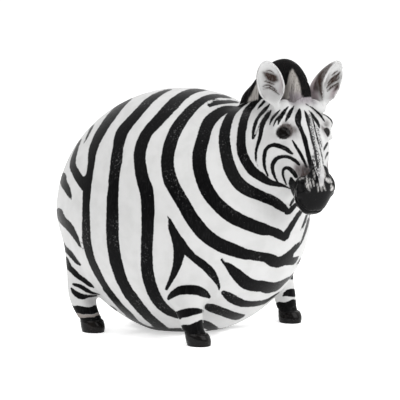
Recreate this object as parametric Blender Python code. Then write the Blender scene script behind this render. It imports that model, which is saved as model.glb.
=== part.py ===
"""A round zebra figurine: one casting, standing on four short legs with its head turned to its right."""

import math

import bmesh
import bpy
import numpy as np
from mathutils import Vector
from mathutils.bvhtree import BVHTree

# Driving dimension: floor to ear tips, in metres.
FIGURE_HEIGHT = 0.200

# The pose and the proportions are shares of that height, in parts of 267 (the ear tips' level).
PARTS_HIGH = 267.0
PART = FIGURE_HEIGHT / PARTS_HIGH

# How finely the casting is built up and how many triangles the finished solid keeps.
GRAIN = 1.7
TRIANGLES = 9300
HEAD_REACH = 85.0
HEAD_DETAIL = 0.85

# The body, a ball that is a little longer than it is wide. Its middle is over the origin.
BODY_HALF_WIDTH = 121.0
BODY_HALF_LENGTH = 130.0
BODY_HALF_HEIGHT = 123.0
BODY_CENTRE_UP = 115.0
BELLY_GAP = 0.8
GROIN_RELIEF = 0.055

# The head is turned to the animal's right and the face hangs down.
POLL = (5.0, 141.0, 224.0)
HEAD_TURN = math.radians(29.0)
FACE_PITCH = math.radians(62.0)

# Across the head: eyes and ears are this far from its middle plane.
EYE_OUT = 20.0
EYE_ALONG = 29.0
EYE_FRONT = -3.0
EYE_RADIUS = 6.8
LID_RADIUS = 1.7
EAR_OUT = 25.7
EAR_ONWARD = 2.0
EAR_UP = 0.0
EAR_LENGTH = 43.4
EAR_HALF_WIDTH = 12.8
EAR_BACK = 23.0
EAR_HOLLOW = 10.5
EAR_RIM = 2.2
EAR_BASE_OUT = 15.5
EAR_BASE_UP = -3.0
EAR_BASE_RADIUS = 7.0
EAR_LEAN = math.radians(18.0)
EAR_NOD = math.radians(6.5)
EAR_OUTWARD = math.radians(23.0)

# The soles are cut flat here, after the last smoothing.
SOLE_LEVEL = 0.0

# Colour, roughness and metal of the off-white paint.
PAINT_COLOUR = (0.78, 0.78, 0.77, 1.0)
PAINT_ROUGHNESS = 0.42
PAINT_METALLIC = 0.0


def place(right, forward, up):
    """A point by its parts to the animal's right, forward and up: it faces -Y and its right is -X."""
    return Vector((-right, -forward, up))


def head_point(out, along, front):
    """A point of the head: out to its right, along the face from the poll, and proud of the face line."""
    onward = along * math.cos(FACE_PITCH) + front * math.sin(FACE_PITCH)
    down = along * math.sin(FACE_PITCH) - front * math.cos(FACE_PITCH)
    right = POLL[0] + onward * math.sin(HEAD_TURN) + out * math.cos(HEAD_TURN)
    forward = POLL[1] + onward * math.cos(HEAD_TURN) - out * math.sin(HEAD_TURN)
    return place(right, forward, POLL[2] - down)


def head_level(out, onward, up):
    """A point by the head's right, its forward direction on the level, and height over the poll."""
    right = POLL[0] + onward * math.sin(HEAD_TURN) + out * math.cos(HEAD_TURN)
    forward = POLL[1] + onward * math.cos(HEAD_TURN) - out * math.sin(HEAD_TURN)
    return place(right, forward, POLL[2] + up)


def mesh_of(rings):
    """A closed skin through rings of as many points each, with a flat face over each end."""
    shell = bmesh.new()
    rows = [[shell.verts.new(point) for point in ring] for ring in rings]
    count = len(rings[0])
    for low, high in zip(rows, rows[1:]):
        for i in range(count):
            j = (i + 1) % count
            shell.faces.new((low[i], low[j], high[j], high[i]))
    shell.faces.new(reversed(rows[0]))
    shell.faces.new(rows[-1])
    bmesh.ops.recalc_face_normals(shell, faces=shell.faces)
    mesh = bpy.data.meshes.new("shell")
    shell.to_mesh(mesh)
    shell.free()
    return mesh


def eased(sections, between=3):
    """More sections on a smooth curve through the given ones."""
    rows = np.array(sections, dtype=float)
    ends = np.vstack([2 * rows[0] - rows[1], rows, 2 * rows[-1] - rows[-2]])
    fine = []
    for a, b, c, d in zip(ends, ends[1:], ends[2:], ends[3:]):
        for t in np.arange(between) / between:
            bend = (2 * a - 5 * b + 4 * c - d) * t * t + (3 * b - a - 3 * c + d) * t ** 3
            fine.append(b + ((c - a) * t + bend) / 2)
    fine.append(rows[-1])
    return fine


def oval_ring(centre, side, front, points=32, power=1.0, taper=0.0):
    """Points round an oval with the half-axes side and front.

    A power under 1 squares it off, and a taper makes it narrower in front and wider behind.
    """
    ring = []
    for i in range(points):
        turn = 2 * math.pi * i / points
        across = math.copysign(abs(math.cos(turn)) ** power, math.cos(turn))
        ahead = math.copysign(abs(math.sin(turn)) ** power, math.sin(turn))
        ring.append(centre + side * across * (1 - taper * ahead) + front * ahead)
    return ring


def body_shell():
    """The ball of the body, drawn in at the groin and flat just over the floor."""
    shell = bmesh.new()
    bmesh.ops.create_icosphere(shell, subdivisions=6, radius=1.0)
    for vert in shell.verts:
        x, y, z = vert.co
        behind = max(0.0, y)
        below = max(0.0, -z)
        relief = 1.0 - GROIN_RELIEF * min(1.0, 2.0 * behind * below)
        vert.co.x = x * BODY_HALF_WIDTH * relief
        vert.co.y = y * BODY_HALF_LENGTH * relief
        vert.co.z = BODY_CENTRE_UP + z * BODY_HALF_HEIGHT * relief
        vert.co.z = max(vert.co.z, BELLY_GAP)
    mesh = bpy.data.meshes.new("body")
    shell.to_mesh(mesh)
    shell.free()
    return mesh


def neck_shell():
    """The thick neck, from deep in the body to the back of the head, with its back line level."""
    # Forward, up, right, half-width, half-depth and tilt of each section.
    sections = [
        (38.0, 146.0, 0.0, 84.0, 80.0, 20.0),
        (70.0, 160.0, 0.0, 67.0, 70.0, 26.0),
        (92.0, 171.0, 0.0, 54.0, 58.0, 30.0),
        (112.0, 181.0, 1.5, 43.0, 47.0, 34.0),
        (130.0, 189.0, 4.0, 34.0, 38.0, 38.0),
        (142.0, 194.0, 7.0, 24.0, 28.0, 40.0),
    ]
    rings = []
    for forward, up, right, half_width, half_depth, tilt in eased(sections):
        lean = math.radians(tilt)
        side = place(1, 0, 0) * half_width
        front = place(0, -math.sin(lean), math.cos(lean)) * half_depth
        rings.append(oval_ring(place(right, forward, up), side, front))
    return mesh_of(rings)


def head_shell():
    """The long head: a bulging forehead, a straight bridge and a round muzzle."""
    # Along the face, its front line, its back line, half-width, squareness and taper of each section.
    sections = [
        (-14.0, -8.0, -34.0, 12.0, 1.0, 0.0),
        (-8.0, -3.0, -40.0, 17.5, 1.0, 0.0),
        (2.0, 2.0, -45.0, 21.5, 1.0, 0.0),
        (14.0, 7.0, -47.0, 26.8, 0.95, 0.05),
        (26.0, 10.5, -48.0, 28.5, 0.9, 0.08),
        (38.0, 12.5, -47.0, 27.5, 0.85, 0.12),
        (50.0, 13.0, -43.0, 24.5, 0.85, 0.15),
        (62.0, 12.5, -37.0, 18.2, 0.85, 0.15),
        (73.0, 12.0, -33.0, 14.0, 0.85, 0.0),
        (81.0, 11.0, -31.5, 16.2, 0.85, -0.05),
        (87.0, 6.5, -32.0, 17.4, 0.9, -0.08),
        (93.5, -1.5, -31.0, 14.0, 0.9, -0.05),
        (99.0, -9.0, -28.0, 10.0, 0.95, 0.0),
        (101.5, -15.0, -24.0, 6.0, 1.0, 0.0),
    ]
    rings = []
    for along, face, jaw, half_width, power, taper in eased(sections):
        centre = head_point(0, along, (face + jaw) / 2)
        side = head_point(half_width, along, (face + jaw) / 2) - centre
        front = head_point(0, along, face) - centre
        rings.append(oval_ring(centre, side, front, power=power, taper=taper))
    return mesh_of(rings)


def ball_shell(centre, radius):
    shell = bmesh.new()
    bmesh.ops.create_icosphere(shell, subdivisions=4, radius=radius)
    bmesh.ops.translate(shell, verts=shell.verts, vec=centre)
    mesh = bpy.data.meshes.new("ball")
    shell.to_mesh(mesh)
    shell.free()
    return mesh


def brow_shell(flank):
    """The bony ridge over an eye. flank is 1 on the head's right side and -1 on its left."""
    # Out, along and front from the eye's middle, and the ridge's radius.
    sections = [
        (-9.5, -8.5, 7.0, 3.4),
        (-3.0, -11.5, 6.0, 4.6),
        (5.0, -10.5, 2.0, 5.2),
        (6.5, -7.0, -4.0, 4.6),
        (2.5, -5.0, -11.0, 2.8),
    ]
    centres = []
    for out, along, front, _ in sections:
        centres.append(head_point(flank * (EYE_OUT + out), EYE_ALONG + along, EYE_FRONT + front))
    return tube(centres, [section[3] for section in sections])


def lid_shell(flank, opening):
    """An eyelid: a rounded edge that lies on the eyeball. opening is its rise there, in degrees."""
    middle = head_point(flank * EYE_OUT, EYE_ALONG, EYE_FRONT)
    outward = (head_point(flank * (EYE_OUT + 9), EYE_ALONG, EYE_FRONT + 3) - middle).normalized()
    onward = (head_point(flank * EYE_OUT, EYE_ALONG + 4, EYE_FRONT + 9) - middle).normalized()
    onward = (onward - outward * onward.dot(outward)).normalized()
    upward = outward.cross(onward)
    if upward.z < 0:
        upward = -upward
    steps = 10
    centres = []
    radii = []
    for i in range(steps + 1):
        turn = math.radians(-68 + 136 * i / steps)
        rise = math.radians(opening) * math.cos(turn * 1.25)
        way = outward * math.cos(turn) * math.cos(rise) + onward * math.sin(turn) * math.cos(rise)
        centres.append(middle + (way + upward * math.sin(rise)) * (EYE_RADIUS + 0.3))
        radii.append(LID_RADIUS * (0.6 + 0.4 * math.cos(turn)))
    return tube(centres, radii)


def tube(centres, radii):
    """A round tube through centres, each with its own radius."""
    side = (centres[1] - centres[0]).orthogonal().normalized()
    rings = []
    for i, centre in enumerate(centres):
        run = centres[min(i + 1, len(centres) - 1)] - centres[max(i - 1, 0)]
        run.normalize()
        side = (side - run * side.dot(run)).normalized()
        rings.append(oval_ring(centre, side * radii[i], run.cross(side) * radii[i], points=16))
    return mesh_of(rings)


def ear_frame(flank):
    """The ear's root, its long direction, its width direction and the way its cup faces."""
    root = head_level(flank * EAR_OUT, EAR_ONWARD, EAR_UP)
    tip_out = EAR_OUT + math.sin(EAR_LEAN)
    tip_onward = EAR_ONWARD + math.sin(EAR_NOD)
    long_way = (head_level(flank * tip_out, tip_onward, EAR_UP + math.cos(EAR_LEAN)) - root).normalized()
    cup_out = EAR_OUT + math.sin(EAR_OUTWARD)
    cup_way = head_level(flank * cup_out, EAR_ONWARD + math.cos(EAR_OUTWARD), EAR_UP) - root
    cup_way = (cup_way - long_way * cup_way.dot(long_way)).normalized()
    wide_way = long_way.cross(cup_way).normalized()
    return root, long_way, wide_way, cup_way


def ear_shell(flank):
    """A leaf-shaped ear with a hollow front and a back that swells towards its root."""
    root, long_way, wide_way, cup_way = ear_frame(flank)
    # Share of the length, share of the half-width, share of the back's depth and of the hollow's.
    sections = [
        (-0.14, 0.12, 0.5, 0.0),
        (-0.06, 0.18, 0.8, 0.0),
        (0.02, 0.28, 0.95, 0.1),
        (0.10, 0.50, 1.0, 0.4),
        (0.20, 0.78, 1.0, 0.85),
        (0.34, 0.97, 0.95, 1.0),
        (0.50, 1.00, 0.84, 1.0),
        (0.68, 0.91, 0.64, 0.85),
        (0.82, 0.72, 0.44, 0.6),
        (0.93, 0.46, 0.26, 0.3),
        (0.99, 0.20, 0.12, 0.05),
    ]
    steps = 12
    rings = []
    for share, width, cup, open_share in eased(sections, 2):
        centre = root + long_way * EAR_LENGTH * share
        half = EAR_HALF_WIDTH * width
        depth = EAR_BACK * cup
        hollow = EAR_HOLLOW * open_share
        ring = []
        for i in range(steps + 1):
            turn = math.pi * i / steps
            back = centre - cup_way * math.sin(turn) * depth
            ring.append(back + wide_way * math.cos(turn) * half)
        for i in range(steps + 1):
            turn = math.pi * (steps - i) / steps
            inner = centre + cup_way * (EAR_RIM - math.sin(turn) * hollow)
            ring.append(inner + wide_way * math.cos(turn) * half * 0.86)
        rings.append(ring)
    return mesh_of(rings)


def mane_shell():
    """The clipped mane: a thick crest on the neck's back line that ends as the forelock."""
    # Right, forward, base height, top height and half-thickness of each section.
    sections = [
        (0.0, 70.5, 217.0, 226.0, 3.5),
        (0.0, 75.5, 216.0, 234.0, 5.5),
        (0.0, 85.0, 214.0, 244.0, 6.5),
        (0.0, 96.8, 212.0, 256.0, 7.5),
        (1.0, 110.0, 210.0, 264.5, 8.0),
        (2.0, 124.0, 208.0, 267.0, 8.5),
        (4.0, 136.0, 206.0, 262.0, 9.5),
        (6.5, 144.5, 206.0, 251.5, 9.5),
        (8.5, 148.5, 206.0, 239.5, 8.5),
        (10.0, 150.5, 206.0, 227.0, 6.5),
    ]
    rings = []
    for right, forward, base, top, half in eased(sections):
        turn = HEAD_TURN * min(1.0, max(0.0, (forward - 100.0) / 45.0))
        side = place(math.cos(turn), -math.sin(turn), 0) * half
        front = place(0, 0, (top - base) / 2)
        rings.append(oval_ring(place(right, forward, (top + base) / 2), side, front, power=0.8))
    return mesh_of(rings)


def leg_shell(sections, flank):
    """A leg down to its fetlock, by right, forward, up, half-width and half-length of each section."""
    rings = []
    for right, forward, up, half_width, half_length in eased(sections):
        centre = place(flank * right, forward, up)
        rings.append(oval_ring(centre, place(half_width, 0, 0), place(0, half_length, 0)))
    return mesh_of(rings)


def fore_leg(flank):
    sections = [
        (56.0, 42.0, 98.0, 26.0, 30.0),
        (65.0, 53.0, 72.0, 25.0, 27.0),
        (73.0, 59.0, 52.0, 20.0, 22.0),
        (77.5, 63.5, 38.0, 15.5, 16.5),
        (79.0, 68.5, 29.0, 12.2, 12.8),
        (79.0, 71.0, 20.0, 10.5, 11.0),
        (78.5, 73.0, 13.5, 9.8, 10.4),
        (78.0, 76.0, 11.0, 10.6, 11.4),
        (77.5, 77.5, 6.0, 11.2, 12.4),
        (77.0, 78.0, 1.5, 10.6, 12.0),
        (77.0, 78.0, -2.5, 9.5, 10.8),
    ]
    return leg_shell(sections, flank)


def hind_leg(flank):
    sections = [
        (58.0, -46.0, 120.0, 32.0, 42.0),
        (69.0, -54.0, 90.0, 29.0, 35.0),
        (79.0, -58.5, 62.0, 18.5, 22.5),
        (83.5, -61.0, 46.0, 14.5, 16.8),
        (84.5, -61.3, 36.0, 13.4, 15.0),
        (84.0, -58.2, 25.0, 12.2, 13.3),
        (83.5, -52.6, 15.0, 10.8, 11.8),
        (83.0, -49.5, 11.5, 11.0, 12.0),
        (83.0, -48.0, 6.0, 11.0, 12.6),
        (83.0, -47.5, 1.5, 10.2, 12.2),
        (83.0, -47.5, -2.5, 9.0, 11.0),
    ]
    return leg_shell(sections, flank)


def tail_shell():
    """The tail, lying on the rump as a low relief that ends in a tuft."""
    centres = []
    radii = []
    steps = 14
    for i in range(steps + 1):
        share = i / steps
        rise = math.radians(34.0 - 62.0 * share)
        reach = 1.0 if share < 0.6 else 1.0 - 0.03 * (share - 0.6)
        back = -BODY_HALF_LENGTH * math.cos(rise) * reach
        up = BODY_CENTRE_UP + BODY_HALF_HEIGHT * math.sin(rise) * reach
        centres.append(place(0, back, up))
        radii.append(4.5 + 3.5 * math.sin(math.pi * max(0.0, share - 0.45) / 0.62) ** 2)
    radii[-1] = 2.5
    return tube(centres, radii)


def shells():
    """Every closed skin that the casting is built up from."""
    made = [body_shell(), neck_shell(), head_shell(), mane_shell(), tail_shell()]
    for flank in (1, -1):
        made.append(fore_leg(flank))
        made.append(hind_leg(flank))
        made.append(ear_shell(flank))
        made.append(brow_shell(flank))
        made.append(lid_shell(flank, 40))
        made.append(lid_shell(flank, -36))
        made.append(ball_shell(head_point(flank * EYE_OUT, EYE_ALONG, EYE_FRONT), EYE_RADIUS))
        made.append(ball_shell(head_level(flank * EAR_BASE_OUT, EAR_ONWARD, EAR_BASE_UP), EAR_BASE_RADIUS))
    return made


def fused(meshes, grain):
    """The skins joined into one closed surface, with corners about grain apart."""
    gathered = bmesh.new()
    for mesh in meshes:
        gathered.from_mesh(mesh)
        bpy.data.meshes.remove(mesh)
    joined = bpy.data.meshes.new("joined")
    gathered.to_mesh(joined)
    gathered.free()
    rough = bpy.data.objects.new("rough", joined)
    bpy.context.collection.objects.link(rough)
    remesh = rough.modifiers.new("union", "REMESH")
    remesh.mode = "VOXEL"
    remesh.voxel_size = grain
    graph = bpy.context.evaluated_depsgraph_get()
    mesh = bpy.data.meshes.new_from_object(rough.evaluated_get(graph))
    bpy.data.objects.remove(rough)
    bpy.data.meshes.remove(joined)
    return mesh


def corners_of(mesh):
    points = np.empty(len(mesh.vertices) * 3)
    mesh.vertices.foreach_get("co", points)
    return points.reshape(-1, 3)


def normals_of(mesh):
    normals = np.empty(len(mesh.vertices) * 3)
    mesh.vertices.foreach_get("normal", normals)
    return normals.reshape(-1, 3)


def set_corners(mesh, points):
    mesh.vertices.foreach_set("co", points.ravel())
    mesh.update()


def edges_of(mesh):
    ends = np.empty(len(mesh.edges) * 2, dtype=np.int64)
    mesh.edges.foreach_get("vertices", ends)
    return ends.reshape(-1, 2)


def near(points, centre, reach):
    """1 at centre, falling smoothly to 0 at reach."""
    away = np.linalg.norm(points - np.array(centre), axis=1) / reach
    return np.clip(1.0 - away * away, 0.0, 1.0) ** 2


def smooth(mesh, weight, rounds):
    """Moves each corner towards its neighbours' mean, by weight, rounds times."""
    points = corners_of(mesh)
    ends = edges_of(mesh)
    count = len(points)
    links = np.bincount(ends.ravel(), minlength=count).astype(float)
    for _ in range(rounds):
        total = np.zeros_like(points)
        for axis in range(3):
            total[:, axis] = np.bincount(ends[:, 0], points[ends[:, 1], axis], count)
            total[:, axis] += np.bincount(ends[:, 1], points[ends[:, 0], axis], count)
        points += (total / links[:, None] - points) * weight[:, None]
    set_corners(mesh, points)


def behind_face(points):
    """1 on the neck and the body, falling to 0 over the head from its jaw forward."""
    poll = np.array(place(*POLL))
    onward = np.array(head_level(0, 1, 0)) - poll
    return np.clip((-16.0 - (points - poll) @ onward) / 16.0, 0.0, 1.0)


def blend(mesh, grain):
    """Fillets where the neck, the legs and the haunches grow out of the body, and a light finish overall."""
    points = corners_of(mesh)
    strength = np.zeros(len(points))
    for flank in (1, -1):
        strength = np.maximum(strength, near(points, place(flank * 72, 58, 62), 52.0))
        strength = np.maximum(strength, near(points, place(flank * 82, -62, 66), 60.0))
        strength = np.maximum(strength, near(points, place(flank * 48, 88, 165), 75.0))
    strength = np.maximum(strength, near(points, place(0, 108, 130), 60.0))
    strength = np.maximum(strength, near(points, place(0, 48, 228), 30.0) * 0.6)
    strength = np.clip(strength * 2.0, 0.0, 1.0) * 0.6 * behind_face(points)
    smooth(mesh, strength, round((13.0 / grain) ** 2))
    smooth(mesh, np.full(len(points), 0.5), max(1, round((1.6 / grain) ** 2)))


def surface_tree(mesh):
    """What finds the nearest point of the surface."""
    faces = [list(face.vertices) for face in mesh.polygons]
    return BVHTree.FromPolygons([vert.co for vert in mesh.vertices], faces)


def snapped(tree, stroke):
    """A stroke's points moved onto the nearest surface, with more between them."""
    fine = []
    for start, end in zip(stroke, stroke[1:]):
        fine += [start.lerp(end, step / 4) for step in range(4)]
    fine.append(stroke[-1])
    return [np.array(tree.find_nearest(point)[0]) for point in fine]


def distance_to(points, stroke):
    """Each corner's distance to the nearest piece of a stroke."""
    best = np.full(len(points), np.inf)
    for start, end in zip(stroke, stroke[1:]):
        run = end - start
        share = np.clip((points - start) @ run / max(1e-9, run @ run), 0.0, 1.0)
        away = np.linalg.norm(points - start - share[:, None] * run, axis=1)
        best = np.minimum(best, away)
    return best


def carve(mesh, strokes):
    """Raises the surface along each stroke, or sinks it where the height is negative.

    A stroke is its points, the half-width of the mark and its height.
    """
    tree = surface_tree(mesh)
    points = corners_of(mesh)
    lift = np.zeros(len(points))
    for stroke, half_width, height in strokes:
        line = snapped(tree, stroke)
        low = np.min(line, axis=0) - half_width
        high = np.max(line, axis=0) + half_width
        close = np.where(((points > low) & (points < high)).all(axis=1))[0]
        away = distance_to(points[close], line) / half_width
        lift[close] += np.clip(1.0 - away * away, 0.0, 1.0) ** 2 * height
    set_corners(mesh, points + normals_of(mesh) * lift[:, None])


def face_strokes():
    """Nostrils, mouth, jaw and the hollows beside the bridge."""
    strokes = []
    for flank in (1, -1):
        def spot(out, along, front):
            return head_point(flank * out, along, front)

        # The hollow in front of the eye and the cheek's rounded edge.
        strokes.append(([spot(15, 42, 9), spot(14, 54, 8)], 8.0, -1.2))
        strokes.append(([spot(23, 48, -26), spot(18, 66, -30)], 10.0, 1.2))
        # The nostril's rim and its hole.
        rim = [spot(17.5, 74, -7), spot(15, 72.5, -1), spot(12.5, 75, 3), spot(12.5, 81, 4), spot(14, 87, 1)]
        strokes.append((rim, 3.8, 1.7))
        strokes.append(([spot(19, 78, -9), spot(19, 86, -8)], 6.0, 1.6))
        strokes.append(([spot(15.5, 77, -2), spot(16, 83, -2)], 4.0, -3.8))
        # The line of the mouth, low on the muzzle.
        strokes.append(([spot(20, 84, -19), spot(17, 94, -18), spot(9, 101, -17), spot(0, 103, -16)], 2.2, -1.2))
    return strokes


def mane_strokes():
    """The grooves between the upright locks on both sides of the mane."""
    strokes = []
    for flank in (1, -1):
        for i in range(11):
            forward = 76.0 + i * 7.0
            turn = max(0.0, forward - 120.0) * 0.3
            low = place(flank * 9 + turn, forward - 3, 229)
            high = place(flank * 5 + turn, forward + 1, 252)
            strokes.append(([low, high], 2.6, -1.0))
    return strokes


def foot_strokes():
    """The coronet, a shallow groove all round where each hoof begins."""
    strokes = []
    for right, forward in ((78.3, 74.0), (83.2, -50.5)):
        for flank in (1, -1):
            ring = []
            for turn in np.linspace(0, 2 * math.pi, 13):
                ring.append(place(flank * right + 11 * math.cos(turn), forward + 11 * math.sin(turn), 12.5))
            strokes.append((ring, 2.2, -0.7))
    return strokes


def casting(grain):
    """The whole figure in parts of its height, before the soles are cut."""
    mesh = fused(shells(), grain)
    blend(mesh, grain)
    carve(mesh, face_strokes() + mane_strokes() + foot_strokes())
    return mesh


def thinned(mesh, triangles):
    """The same surface with about this many triangles, which stay closest together on the head."""
    points = corners_of(mesh)
    head = near(points, head_point(0, 30, -10), HEAD_REACH) ** 0.25
    thick = bpy.data.objects.new("thick", mesh)
    bpy.context.collection.objects.link(thick)
    plain = thick.vertex_groups.new(name="plain")
    for level in range(11):
        chosen = np.where(np.round(head * 10) == level)[0]
        plain.add([int(i) for i in chosen], 1.0 - HEAD_DETAIL * level / 10, "REPLACE")
    decimate = thick.modifiers.new("thin", "DECIMATE")
    decimate.vertex_group = plain.name
    decimate.vertex_group_factor = 1.0
    decimate.ratio = triangles / (2.0 * len(mesh.polygons))
    graph = bpy.context.evaluated_depsgraph_get()
    thin = bpy.data.meshes.new_from_object(thick.evaluated_get(graph))
    bpy.data.objects.remove(thick)
    return thin


def with_soles(mesh):
    """The surface cut level under the hooves and closed there."""
    cut = bmesh.new()
    cut.from_mesh(mesh)
    whole = cut.verts[:] + cut.edges[:] + cut.faces[:]
    bmesh.ops.bisect_plane(
        cut, geom=whole, dist=1e-4, plane_co=(0, 0, SOLE_LEVEL), plane_no=(0, 0, 1), clear_inner=True
    )
    rims = [edge for edge in cut.edges if edge.is_boundary]
    bmesh.ops.contextual_create(cut, geom=rims)
    bmesh.ops.triangulate(cut, faces=cut.faces[:])
    cut.to_mesh(mesh)
    cut.free()
    return mesh


def centred(mesh):
    """The surface in metres, with the middle of its box over the origin."""
    points = corners_of(mesh)
    middle = (points.min(axis=0) + points.max(axis=0)) / 2
    middle[2] = points[:, 2].min()
    set_corners(mesh, (points - middle) * PART)
    return mesh


def paint():
    material = bpy.data.materials.new("painted_resin")
    material.use_nodes = True
    shader = material.node_tree.nodes["Principled BSDF"]
    shader.inputs["Base Color"].default_value = PAINT_COLOUR
    shader.inputs["Roughness"].default_value = PAINT_ROUGHNESS
    shader.inputs["Metallic"].default_value = PAINT_METALLIC
    return material


def main():
    for obj in list(bpy.data.objects):
        bpy.data.objects.remove(obj)
    mesh = centred(with_soles(thinned(casting(GRAIN), TRIANGLES)))
    mesh.name = "zebra"
    mesh.materials.append(paint())
    mesh.shade_smooth()
    zebra = bpy.data.objects.new("zebra", mesh)
    bpy.context.collection.objects.link(zebra)


main()
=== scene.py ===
"""Looks of the round zebra figurine: its casting, its painted coat and a plain pale studio."""

import math

import bmesh
import bpy
import numpy as np
from mathutils import Matrix, Vector
from mathutils.bvhtree import BVHTree


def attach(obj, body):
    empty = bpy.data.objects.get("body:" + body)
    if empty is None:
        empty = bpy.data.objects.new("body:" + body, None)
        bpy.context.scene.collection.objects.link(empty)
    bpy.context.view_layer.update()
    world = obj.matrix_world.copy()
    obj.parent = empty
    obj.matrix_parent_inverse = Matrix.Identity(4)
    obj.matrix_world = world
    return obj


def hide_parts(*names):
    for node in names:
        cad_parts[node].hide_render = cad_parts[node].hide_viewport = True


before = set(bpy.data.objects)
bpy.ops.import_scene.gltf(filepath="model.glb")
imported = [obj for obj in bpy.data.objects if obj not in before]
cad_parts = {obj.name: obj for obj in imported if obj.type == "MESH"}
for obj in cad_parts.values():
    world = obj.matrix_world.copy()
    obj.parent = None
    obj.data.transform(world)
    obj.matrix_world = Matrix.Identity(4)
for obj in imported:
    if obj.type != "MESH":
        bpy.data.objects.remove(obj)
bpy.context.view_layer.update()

# Floor to ear tips, in metres. The shape is in parts of 267 of that height.
FIGURE_HEIGHT = 0.200
PARTS_HIGH = 267.0
PART = FIGURE_HEIGHT / PARTS_HIGH

# How finely the casting is built up, how many triangles the finished piece keeps, and the length
# under which an edge is closed up.
GRAIN = 1.24
TRIANGLES = 197000
SHORT_EDGE = 0.03
# The triangles stay closest together within these reaches of the head and of each leg.
HEAD_MIDDLE = (0.0, 30.0, -10.0)
HEAD_REACH = 95.0
LEG_MIDDLE_UP = 34.0
LEG_DETAIL_REACH = 50.0
DETAIL_SHARE = 0.9
DETAIL_LEVELS = 10

# The body, a ball that is a little longer than it is wide. Its middle is over the origin.
BODY_HALF_WIDTH = 121.0
BODY_HALF_LENGTH = 130.0
BODY_HALF_HEIGHT = 123.0
BODY_CENTRE_UP = 115.0
BELLY_GAP = 0.8
GROIN_RELIEF = 0.055

# The head is turned to the animal's right and the face hangs down.
POLL = (5.0, 141.0, 224.0)
HEAD_TURN = math.radians(29.0)
FACE_PITCH = math.radians(62.0)

# Across the head: eyes and ears are this far from its middle plane.
EYE_OUT = 20.0
EYE_ALONG = 29.0
EYE_FRONT = -3.0
EYE_RADIUS = 6.8
LID_RADIUS = 1.7
EAR_OUT = 25.7
EAR_ONWARD = 2.0
EAR_UP = 0.0
EAR_LENGTH = 43.4
EAR_HALF_WIDTH = 12.8
EAR_BACK = 23.0
EAR_HOLLOW = 10.5
EAR_RIM = 2.2
EAR_BASE_OUT = 15.5
EAR_BASE_UP = -3.0
EAR_BASE_RADIUS = 7.0
EAR_LEAN = math.radians(18.0)
EAR_NOD = math.radians(6.5)
EAR_OUTWARD = math.radians(23.0)

# The soles are cut flat here, after the last smoothing.
SOLE_LEVEL = 0.0

# Places where fillets soften the joins of both sides: right, forward, up, reach and strength.
FILLETS = [
    (72.0, 58.0, 62.0, 52.0, 1.0),
    (82.0, -62.0, 66.0, 60.0, 1.0),
    (48.0, 88.0, 165.0, 75.0, 1.0),
    (0.0, 108.0, 130.0, 60.0, 1.0),
    (0.0, 48.0, 228.0, 30.0, 0.6),
]
FILLET_REACH = 13.0
FINISH_REACH = 1.6

# Carved marks of both sides of the face, as points (out, along, front), half-width and height.
FACE_STROKES = [
    # The hollow in front of the eye and the cheek's rounded edge.
    ([(15, 42, 9), (14, 54, 8)], 8.0, -1.2),
    ([(23, 48, -26), (18, 66, -30)], 10.0, 1.2),
    # The broad forehead beside the ear, and the brow's outer edge.
    ([(15, -2, -3), (18, 6, -2), (21, 13, 0)], 10.0, 3.0),
    ([(29, 22, 3), (31, 27, 0), (29, 33, -4)], 6.0, 1.4),
    # The nostril's rim, the swelling below it and its hole.
    ([(17.5, 74, -7), (15, 72.5, -1), (12.5, 75, 3), (12.5, 81, 4), (14, 87, 1)], 3.8, 1.7),
    ([(19, 78, -9), (19, 86, -8)], 6.0, 1.6),
    ([(15.5, 77, -2), (16, 83, -2)], 4.0, -3.8),
    # The line of the mouth, low on the muzzle.
    ([(20, 84, -19), (17, 94, -18), (9, 101, -17), (0, 103, -16)], 2.2, -1.2),
]
# The grooves between the mane's locks: how many, the first, their spacing, half-width and height.
LOCK_GROOVES = 11
FIRST_LOCK = 76.0
LOCK_SPACING = 7.0
LOCK_HALF_WIDTH = 2.6
LOCK_HEIGHT = -1.0
# The coronets: the legs' middles there, the ring's radius and level, half-width and height.
CORONET_SPOTS = ((78.3, 74.0), (83.2, -50.5))
CORONET_RADIUS = 11.0
CORONET_UP = 12.5
CORONET_HALF_WIDTH = 2.2
CORONET_HEIGHT = -0.7

# The photograph's view: direction from the body, distance, and the frame's offset, in parts.
VIEW_AZIMUTH = math.radians(-53.0)
VIEW_ELEVATION = math.radians(5.5)
VIEW_AWAY = 1500.0
VIEW_RIGHT = 17.0
VIEW_UP = 11.0
# The camera's sensor in millimetres, and how far it sees in metres.
SENSOR_WIDTH = 36.0
VIEW_END = 20.0
# The photograph is a square of this many pixels, and a pixel is one part at the body's middle.
PHOTO_SIDE = 400.0

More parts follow.
